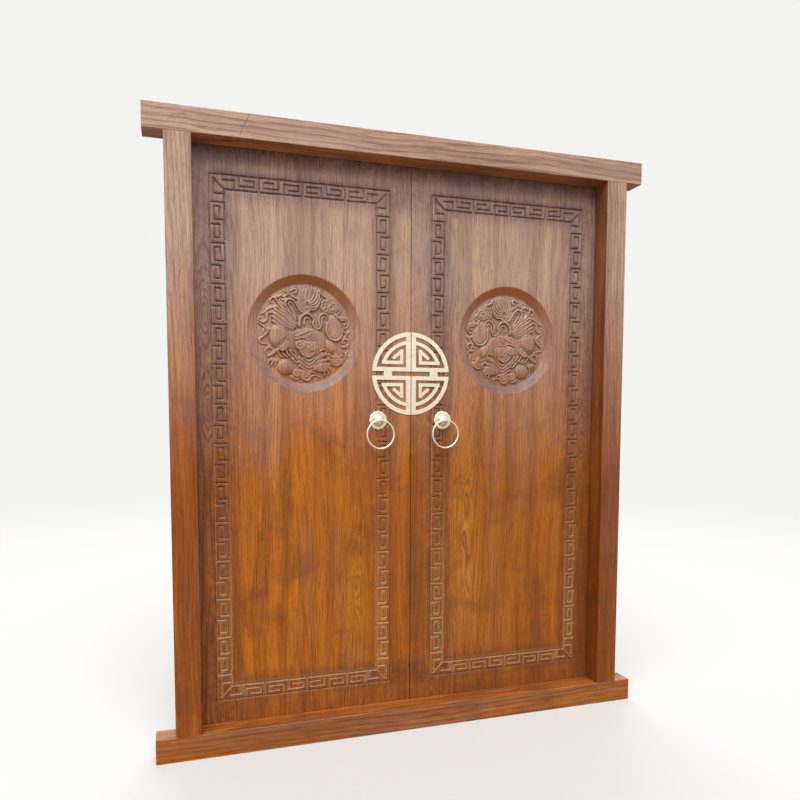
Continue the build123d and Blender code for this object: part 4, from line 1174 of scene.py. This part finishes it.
def hand_cut(a, z, near, far, side, wander):
    """Lets the lines wander as if cut by hand, and holds them at the edges of the board."""
    hold = np.clip(np.minimum(a - near, far - a) / 8, 0, 1)
    hold = hold * np.clip(np.minimum(z - LEAF_BOTTOM, LEAF_TOP - z) / 20, 0, 1)
    a = a + wander * hold * (np.sin(z / 29 + a / 41 + side) + 0.6 * np.sin(z / 11.3 + 2)) / 1.6
    z = z + wander * hold * (np.sin(a / 27 - z / 37 + 1.3) + 0.6 * np.sin(a / 12.1 + z / 90)) / 1.6
    return a, z


def carved_board(name, side, near, far, carving, settings):
    """One board of a leaf: carved front, plain sides, a back with the grooves of the battens."""
    outer = abs(far - LEAF_EDGE) < 0.5
    columns, rows = board_grid(near, far, outer, carving, settings)
    depth, marks = carving.surface(columns, rows, side)
    a, z = np.meshgrid(columns, rows)
    y = LEAF_FRONT + depth
    y[:, 0] += ARRIS
    if outer:
        y[:, 1 - len(EDGE_TURN):] = LEAF_MIDDLE - EDGE_RADIUS * np.cos(EDGE_TURN[1:])
    else:
        y[:, -1] += ARRIS
    a, z = hand_cut(a, z, near, far, side, carving.wander)
    index = np.arange(a.size).reshape(a.shape)
    vertices = [np.stack([side * a, y, z], -1).reshape(-1, 3)]
    faces = np.stack([index[:-1, :-1], index[:-1, 1:], index[1:, 1:], index[1:, :-1]], -1)
    faces = faces.reshape(-1, 4).tolist()
    total = index.size

    def upright_line(place, outline):
        nonlocal total
        vertices.append(np.array([(side * place, deep, height) for deep, height in outline]))
        made = list(range(total, total + len(outline)))
        total += len(outline)
        return made

    def strips(first, second):
        return [[second[k], first[k], first[k + 1], second[k + 1]] for k in range(len(first) - 1)]

    near_line = upright_line(near, back_outline())
    flat = [list(index[:, 0])[::-1] + near_line]
    far_line = upright_line(BATTEN_FAR if outer else far, back_outline())
    flat += strips(near_line, far_line)
    if outer:
        grooves = range(1, 4 * len(BATTEN_LEVELS), 4)
        flat += [far_line[first:first + 4] for first in grooves]
        rims = [far_line[first + step] for first in grooves for step in (0, 3)]
        flush = [far_line[0], *rims, far_line[-1]]
        turned = []
        for angle in EDGE_TURN[:-1]:
            outline = [(LEAF_MIDDLE + EDGE_RADIUS * math.cos(angle), height) for height in rows]
            turned.append(upright_line(PIVOT_PLACE + EDGE_RADIUS * math.sin(angle), outline))
        flat.append(flush[::-1] + turned[0])
        turned.append(list(index[:, -1]))
        for first, second in zip(turned, turned[1:]):
            faces += strips(first, second)
    else:
        turned = []
        flat.append(list(index[:, -1]) + far_line[::-1])
    for end in (0, -1):
        ring = list(index[end]) + [line[end] for line in turned[-2::-1]] + [far_line[end], near_line[end]]
        flat.append(ring[::-1] if end == 0 else ring)
    smooth = [True] * len(faces) + [False] * len(flat)
    faces = [[int(v) for v in face] for face in faces + flat]
    if side < 0:
        faces = [face[::-1] for face in faces]
    obj = new_piece(name, np.concatenate(vertices), faces, "boards")
    obj.data.polygons.foreach_set("use_smooth", smooth)
    for label, field in marks.items():
        values = np.full(total, BACK_STAIN if label == "stain" else 0.0)
        values[:index.size] = field.reshape(-1)
        obj.data.attributes.new(label, "FLOAT", "POINT").data.foreach_set("value", values)
    return obj


def circle(x, y, radius, count):
    """Points of a round outline."""
    angles = np.linspace(0, 2 * math.pi, count, endpoint=False)
    return [(x + radius * math.cos(t), y + radius * math.sin(t)) for t in angles]


def square(x, y, half):
    """Points of a square outline."""
    return [(x + i * half, y + j * half) for i, j in ((-1, -1), (1, -1), (1, 1), (-1, 1))]


def prism(outline, low, high):
    """Vertices and faces of an upright closed prism."""
    count = len(outline)
    vertices = [(x, y, z) for z in (low, high) for x, y in outline]
    faces = [[k, (k + 1) % count, (k + 1) % count + count, k + count] for k in range(count)]
    return vertices, faces + [list(range(count))[::-1], list(range(count, 2 * count))]


def add_shell(obj, vertices, faces):
    """Adds one closed shell to a piece."""
    mesh = obj.data
    b = bmesh.new()
    b.from_mesh(mesh)
    made = [b.verts.new(Vector(v) * MM) for v in vertices]
    for face in faces:
        b.faces.new([made[k] for k in face])
    b.to_mesh(mesh)
    b.free()


class DOOR_OT_carve_boards(bpy.types.Operator):
    """Carve the fret and the medallion in the boards of both leaves"""

    bl_idname = "door.carve_boards"
    bl_label = "Carve Boards"

    def execute(self, context):
        settings = context.scene.door_carving
        carving = LeafCarving(settings)
        for side_name, side in SIDES:
            for number in range(1, 6):
                node = f"{side_name}_plank_{number}"
                low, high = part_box(node)
                near, far = sorted((abs(low.x) / MM, abs(high.x) / MM))
                obj = carved_board(f"{side_name}_board_{number}", side, near, far, carving, settings)
                if number == 5:
                    middle = (side * PIVOT_PLACE, LEAF_MIDDLE)
                    pivot, tenon = circle(*middle, PIVOT_RADIUS, 32), square(*middle, TENON_HALF)
                    add_shell(obj, *prism(pivot, LEAF_TOP - OVERLAP, high.z / MM))
                    add_shell(obj, *prism(tenon, low.z / MM, LEAF_BOTTOM + OVERLAP))
                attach(obj, f"{side_name}_leaf")
                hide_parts(node)
        return {"FINISHED"}


# Frame and rear timbers


class DOOR_OT_finish_timbers(bpy.types.Operator):
    """Varnish the frame timbers and the plain timbers behind the leaves"""

    bl_idname = "door.finish_timbers"
    bl_label = "Finish Timbers"

    def execute(self, context):
        for node in ("head_beam", "threshold"):
            finish_node(node, "beams")
        for node in ("left_post", "right_post"):
            finish_node(node, "posts")
        level = ["hinge_beam", "left_pivot_block", "right_pivot_block", "bolt"]
        level += [f"{side}_{place}_batten" for side, _ in SIDES for place in BATTENS]
        for node in level:
            finish_node(node, "rear_beams")
        small = ("frame_pegs", "hinge_beam_pegs", "block_pegs", "bolt_bridge_1", "bolt_bridge_2",
                 "bolt_keeper")
        for node in small:
            finish_node(node, "rear")
        return {"FINISHED"}


# Brass pulls and plates

# Radius of a rose and its height over the leaf, from the rim to the crown of the boss
ROSE_PROFILE = ((30, 0), (37.5, 0), (37.5, 1.6), (34, 3.0), (28, 2.2), (25.5, 1.8), (24, 2.6), (24, 4.0),
                (22.6, 5.4), (22.2, 7.0), (20.6, 8.4), (20.0, 10), (17.5, 13.2), (13.5, 16.2), (8.5, 18.5),
                (3.5, 19.4), (0.6, 19.5))
ROSE_HEIGHT = ROSE_PROFILE[-1][1]
# How much the rings of the rim and of the hollow behind it swell in petals
PETAL_SWELL = {1: 0.055, 2: 0.055, 3: 0.03, 4: 0.03}
EYE_PLACE = LEAF_FRONT - ROSE_HEIGHT - 11
EYE_RADIUS, EYE_WIRE = 8.15, 2.8
RING_RADIUS, RING_WIRE = 55, 3.5
# The eye's shank and the head that is riveted on it behind the leaf
SHANK_RADIUS, SHANK_START = 2.5, 8.2
RIVET_HALF, RIVET_LOW, RIVET_HIGH = 5, 2, 4.5


def petals(ring, radius, angle):
    """Radius of a rose with its twelve petals."""
    swell = PETAL_SWELL.get(ring, 0.0)
    return radius * (1 + swell * abs(math.cos(6 * angle)) - swell)


def rose_shell(x, turns=120):
    """Vertices and faces of a rose about a line along Y."""
    angles = np.linspace(0, 2 * math.pi, turns, endpoint=False)
    vertices = []
    for ring, (radius, height) in enumerate(ROSE_PROFILE):
        for angle in angles:
            r = petals(ring, radius, angle)
            vertices.append((x + r * math.cos(angle), LEAF_FRONT - height, PULL_LEVEL + r * math.sin(angle)))
    count = len(ROSE_PROFILE)
    faces = []
    for k in range(count - 1):
        for t in range(turns):
            s = (t + 1) % turns
            faces.append([k * turns + t, k * turns + s, (k + 1) * turns + s, (k + 1) * turns + t])
    ends = [list(range(turns))[::-1], list(range((count - 1) * turns, count * turns))]
    return vertices, faces + ends


def torus(centre, major, minor, axis, around, section):
    """Vertices and faces of a ring of wire about the X or Y axis."""
    vertices, faces = [], []
    for i in range(around):
        u = 2 * math.pi * i / around
        for j in range(section):
            v = 2 * math.pi * j / section
            radius = major + minor * math.cos(v)
            p, q, r = radius * math.cos(u), radius * math.sin(u), minor * math.sin(v)
            point = (p, r, q) if axis == "Y" else (r, p, q)
            vertices.append(tuple(c + d for c, d in zip(centre, point)))
            a, b = i * section + j, i * section + (j + 1) % section
            c, d = ((i + 1) % around) * section + (j + 1) % section, ((i + 1) % around) * section + j
            faces.append([a, b, c, d])
    return vertices, faces


def lying(shell):
    """A shell that stood along Z, laid down along Y."""
    vertices, faces = shell
    return [(x, z, y) for x, y, z in vertices], faces


def joined_piece(name, shells, material):
    """One piece from several closed shells, with its normals pointing out."""
    vertices, faces = [], []
    for points, polygons in shells:
        start = len(vertices)
        vertices += list(points)
        faces += [[v + start for v in face] for face in polygons]
    obj = new_piece(name, vertices, faces, material)
    b = bmesh.new()
    b.from_mesh(obj.data)
    bmesh.ops.recalc_face_normals(b, faces=b.faces)
    b.to_mesh(obj.data)
    b.free()
    return obj


class DOOR_OT_make_pulls(bpy.types.Operator):
    """Make the brass roses, eyes and rings of the pulls"""

    bl_idname = "door.make_pulls"
    bl_label = "Make Pulls"

    def execute(self, context):
        for side_name, side in SIDES:
            x = side * PULL_PLACE
            rose = joined_piece(f"{side_name}_rose", [rose_shell(x)], "brass")
            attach(rose, f"{side_name}_leaf")
            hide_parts(f"{side_name}_pull_rose")
            loop = torus((x, EYE_PLACE, PULL_LEVEL), EYE_RADIUS, EYE_WIRE, "X", 40, 14)
            end = LEAF_BACK + RIVET_HIGH
            shank = prism(circle(x, PULL_LEVEL, SHANK_RADIUS, 16), EYE_PLACE + SHANK_START, end)
            rivet = prism(square(x, PULL_LEVEL, RIVET_HALF), LEAF_BACK + RIVET_LOW, end)
            eye = joined_piece(f"{side_name}_eye", [loop, lying(shank), lying(rivet)], "brass")
            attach(eye, f"{side_name}_leaf")
            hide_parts(f"{side_name}_pull_eye")
            wire = torus((x, EYE_PLACE, PULL_LEVEL - RING_RADIUS), RING_RADIUS, RING_WIRE, "Y", 128, 16)
            ring = joined_piece(f"{side_name}_ring", [wire], "brass")
            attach(ring, f"{side_name}_ring")
            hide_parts(f"{side_name}_pull_ring")
            finish_node(f"{side_name}_pull_washer", "iron")
        return {"FINISHED"}


def nail_tree():
    """Geometry Nodes: a small domed nail head on every point of a mesh."""
    tree = bpy.data.node_groups.new("Nail Heads", "GeometryNodeTree")
    tree.interface.new_socket("Geometry", in_out="INPUT", socket_type="NodeSocketGeometry")
    sockets = ("Nail Radius", "Float", 1.5 * MM), ("Seed", "Int", 7), ("Material", "Material", None)
    for label, kind, value in sockets:
        socket = tree.interface.new_socket(label, in_out="INPUT", socket_type=f"NodeSocket{kind}")
        if value is not None:
            socket.default_value = value
    tree.interface.new_socket("Geometry", in_out="OUTPUT", socket_type="NodeSocketGeometry")
    new, link = tree.nodes.new, tree.links.new
    inside, outside = new("NodeGroupInput"), new("NodeGroupOutput")
    ball = new("GeometryNodeMeshIcoSphere")
    ball.inputs["Subdivisions"].default_value = 2
    link(inside.outputs["Nail Radius"], ball.inputs["Radius"])
    size = new("FunctionNodeRandomValue")
    size.data_type = "FLOAT"
    floats = [socket for socket in size.inputs if socket.type == "VALUE"]
    floats[0].default_value, floats[1].default_value = 0.85, 1.15
    link(inside.outputs["Seed"], size.inputs["Seed"])
    points = new("GeometryNodeMeshToPoints")
    link(inside.outputs["Geometry"], points.inputs["Mesh"])
    spread = new("GeometryNodeInstanceOnPoints")
    link(points.outputs["Points"], spread.inputs["Points"])
    link(ball.outputs["Mesh"], spread.inputs["Instance"])
    link([socket for socket in size.outputs if socket.type == "VALUE"][0], spread.inputs["Scale"])
    real = new("GeometryNodeRealizeInstances")
    link(spread.outputs[0], real.inputs[0])
    paint = new("GeometryNodeSetMaterial")
    link(real.outputs[0], paint.inputs["Geometry"])
    link(inside.outputs["Material"], paint.inputs["Material"])
    link(paint.outputs[0], outside.inputs[0])
    return tree


def from_points(name, points, tree, values):
    """Runs a Geometry Nodes tree on points and keeps the result as a plain mesh."""
    mesh = bpy.data.meshes.new(name)
    mesh.from_pydata([Vector(p) * MM for p in points], [], [])
    obj = bpy.data.objects.new(name, mesh)
    bpy.context.scene.collection.objects.link(obj)
    modifier = obj.modifiers.new("Repeat", "NODES")
    modifier.node_group = tree
    for item in tree.interface.items_tree:
        if item.item_type == "SOCKET" and item.in_out == "INPUT" and item.name in values:
            modifier[item.identifier] = values[item.name]
    bpy.context.view_layer.update()
    evaluated = obj.evaluated_get(bpy.context.evaluated_depsgraph_get())
    result = bpy.data.meshes.new_from_object(evaluated)
    obj.modifiers.remove(modifier)
    obj.data = result
    obj.data.polygons.foreach_set("use_smooth", np.full(len(obj.data.polygons), True))
    return obj


# Radii of the two rows of nails round the plate and how high they stand. No nail stands within BAR_HALF
# of the plate's level middle, except further out than BAR_END
NAIL_ROWS = (156.5, 149.5)
NAIL_HEIGHT = 2.5
BAR_HALF, BAR_END = 12, 145


def plate_nail_points(side, step):
    """Nail places round the rim of one half of the plate."""
    places = []
    for radius in NAIL_ROWS:
        turns = np.linspace(0.05, math.pi - 0.05, int(math.pi * radius / step))
        places += [(radius * math.sin(t), radius * math.cos(t)) for t in turns]
    return [(side * u, LEAF_FRONT - NAIL_HEIGHT, PLATE_LEVEL + v) for u, v in places
            if abs(v) > BAR_HALF or u > BAR_END]


class DOOR_OT_dress_plates(bpy.types.Operator):
    """Finish the split brass plate and set its nails"""

    bl_idname = "door.dress_plates"
    bl_label = "Dress Plates"

    def execute(self, context):
        settings = context.scene.door_brass
        tree = nail_tree()
        for side_name, side in SIDES:
            finish_node(f"{side_name}_plate", "brass")
            points = plate_nail_points(side, settings.nail_step / MM)
            values = {"Nail Radius": settings.nail_radius, "Seed": settings.seed + side,
                      "Material": MATERIALS["brass"]}
            nails = from_points(f"{side_name}_plate_nails", points, tree, values)
            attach(nails, f"{side_name}_leaf")
        return {"FINISHED"}


class DOOR_OT_finish_ironwork(bpy.types.Operator):
    """Blacken the iron shoes and cups of the lower pivots"""

    bl_idname = "door.finish_ironwork"
    bl_label = "Finish Ironwork"

    def execute(self, context):
        for node in ("socket_cups", "left_pivot_shoe", "right_pivot_shoe"):
            finish_node(node, "iron")
        return {"FINISHED"}


# Stage

# Tone of the sky and of the ground far off, light that the ground throws back, and colour of the soft light
SKY = (0.90, 0.90, 0.895)
BOUNCE = (0.26, 0.22, 0.19)
DAYLIGHT = (0.97, 0.98, 1.0)
FLOOR_HALF = 60000
# Viewpoint solved from the corners of the frame: turn and place, and measures of the image in pixels
VIEW_TURN = Vector((0.0614829958, -0.259038387, -0.0127997725))
VIEW_PLACE = (-0.912610, -2.221922, 1.207128)
IMAGE_SIZE, FOCAL_LENGTH = 800, 604.594
CENTRE_ACROSS, CENTRE_DOWN = 334.971, 464.236
SENSOR_WIDTH = 36


def floor_material(near):
    """Ground that keeps shadows near the door, fades to the sky's tone and throws back little light."""
    material, n, shader = new_material("Floor")
    path = n.add("ShaderNodeLightPath").outputs
    indirect = n.math("MAXIMUM", path["Is Diffuse Ray"], path["Is Glossy Ray"])
    n.put(shader["Base Color"], n.mix(indirect, near, BOUNCE))
    shader["Roughness"].default_value = 0.9
    shader["Specular IOR Level"].default_value = 0.05
    place = n.add("ShaderNodeTexCoord").outputs["Object"]
    away = n.add("ShaderNodeVectorMath", {0: place}, operation="LENGTH").outputs["Value"]
    glow = n.add("ShaderNodeEmission", {"Color": solid(SKY), "Strength": 1.0})
    blend = n.math("MULTIPLY", n.span(away, 3.0, 9.0, smooth=True), n.math("SUBTRACT", 1.0, indirect))
    ground = shader["Base Color"].node.outputs[0]
    mixed = n.add("ShaderNodeMixShader", {0: blend, 1: ground, 2: glow.outputs[0]})
    output = next(node for node in n.tree.nodes if node.type == "OUTPUT_MATERIAL")
    n.put(output.inputs["Surface"], mixed.outputs[0])
    return material


def set_world(scene, ambient_strength):
    """Soft light from all round, with a plain pale sky for the camera and for reflections."""
    world = bpy.data.worlds.new("Soft Day")
    scene.world = world
    world.use_nodes = True
    world.node_tree.nodes.clear()
    n = Nodes(world.node_tree)
    path = n.add("ShaderNodeLightPath").outputs
    mirrored = n.math("MAXIMUM", path["Is Glossy Ray"], path["Is Transmission Ray"])
    seen = n.math("MAXIMUM", path["Is Camera Ray"], mirrored)
    ambient = n.add("ShaderNodeBackground", {"Color": solid(DAYLIGHT), "Strength": ambient_strength})
    shown = n.add("ShaderNodeBackground", {"Color": solid(SKY), "Strength": 1.0})
    mixed = n.add("ShaderNodeMixShader", {0: seen, 1: ambient.outputs[0], 2: shown.outputs[0]})
    n.add("ShaderNodeOutputWorld", {"Surface": mixed.outputs[0]})


class DOOR_OT_set_stage(bpy.types.Operator):
    """Lay the floor, set the soft light and place the camera"""

    bl_idname = "door.set_stage"
    bl_label = "Set Stage"

    def execute(self, context):
        settings = context.scene.door_stage
        MATERIALS["floor"] = floor_material(settings.floor)
        floor = new_piece("floor", [(x, y, 0) for x, y in square(0, 0, FLOOR_HALF)], [[0, 1, 2, 3]], "floor",
                          smooth=False)
        set_world(context.scene, settings.ambient)
        self.sun("key", (-0.35, -1.0, 1.55), settings.key, 55)
        self.sun("back", (0.3, 1.0, 0.8), settings.key * 0.35, 60)
        context.scene.view_settings.view_transform = "Standard"
        self.camera(context.scene)
        return {"FINISHED"}

    def sun(self, name, towards, strength, spread):
        """A wide soft sun that stands in the given direction from the door."""
        data = bpy.data.lights.new(name, "SUN")
        data.energy = strength
        data.angle = math.radians(spread)
        obj = bpy.data.objects.new(name, data)
        obj.matrix_world = Vector(towards).to_track_quat("Z", "Y").to_matrix().to_4x4()
        bpy.context.scene.collection.objects.link(obj)

    def camera(self, scene):
        """The photograph's viewpoint, solved from the corners of the frame."""
        rotation = Matrix.Rotation(VIEW_TURN.length, 3, VIEW_TURN.normalized())
        basis = Matrix(((1, 0, 0), (0, 0, -1), (0, 1, 0)))
        axes = (rotation @ basis).transposed()
        right, down, forward = (axes.col[k] for k in range(3))
        matrix = Matrix((right, -down, -forward)).transposed().to_4x4()
        matrix.translation = VIEW_PLACE
        data = bpy.data.cameras.new("view")
        data.sensor_width = SENSOR_WIDTH
        data.lens = FOCAL_LENGTH / IMAGE_SIZE * SENSOR_WIDTH
        data.shift_x = (IMAGE_SIZE / 2 - CENTRE_ACROSS) / IMAGE_SIZE
        data.shift_y = (CENTRE_DOWN - IMAGE_SIZE / 2) / IMAGE_SIZE
        data.clip_end = 200
        obj = bpy.data.objects.new("view", data)
        obj.matrix_world = matrix
        scene.collection.objects.link(obj)
        scene.camera = obj


# Sidebar and registration


class DOOR_PT_sidebar(bpy.types.Panel):
    """Settings and steps of the carved double door"""

    bl_label = "Carved Double Door"
    bl_idname = "DOOR_PT_sidebar"
    bl_space_type = "VIEW_3D"
    bl_region_type = "UI"
    bl_category = "Door"

    def draw(self, context):
        layout = self.layout
        for name, group in SETTINGS.items():
            box = layout.box()
            box.label(text=group.__name__[4:])
            for prop in group.__annotations__:
                box.prop(getattr(context.scene, name), prop)
        for operator in OPERATORS:
            layout.operator(operator.bl_idname)


SETTINGS = {
    "door_carving": DoorCarving,
    "door_finish": DoorFinish,
    "door_brass": DoorBrass,
    "door_stage": DoorStage,
}
OPERATORS = (
    DOOR_OT_carve_boards,
    DOOR_OT_finish_timbers,
    DOOR_OT_make_pulls,
    DOOR_OT_dress_plates,
    DOOR_OT_finish_ironwork,
    DOOR_OT_set_stage,
)


def register():
    for cls in (*SETTINGS.values(), *OPERATORS, DOOR_PT_sidebar):
        bpy.utils.register_class(cls)
    for name, group in SETTINGS.items():
        setattr(bpy.types.Scene, name, bpy.props.PointerProperty(type=group))


def unregister():
    for name in SETTINGS:
        delattr(bpy.types.Scene, name)
    for cls in reversed((*SETTINGS.values(), *OPERATORS, DOOR_PT_sidebar)):
        bpy.utils.unregister_class(cls)


def main():
    register()
    make_materials()
    bpy.ops.door.carve_boards()
    bpy.ops.door.finish_timbers()
    bpy.ops.door.make_pulls()
    bpy.ops.door.dress_plates()
    bpy.ops.door.finish_ironwork()
    bpy.ops.door.set_stage()


if __name__ == "__main__":
    main()
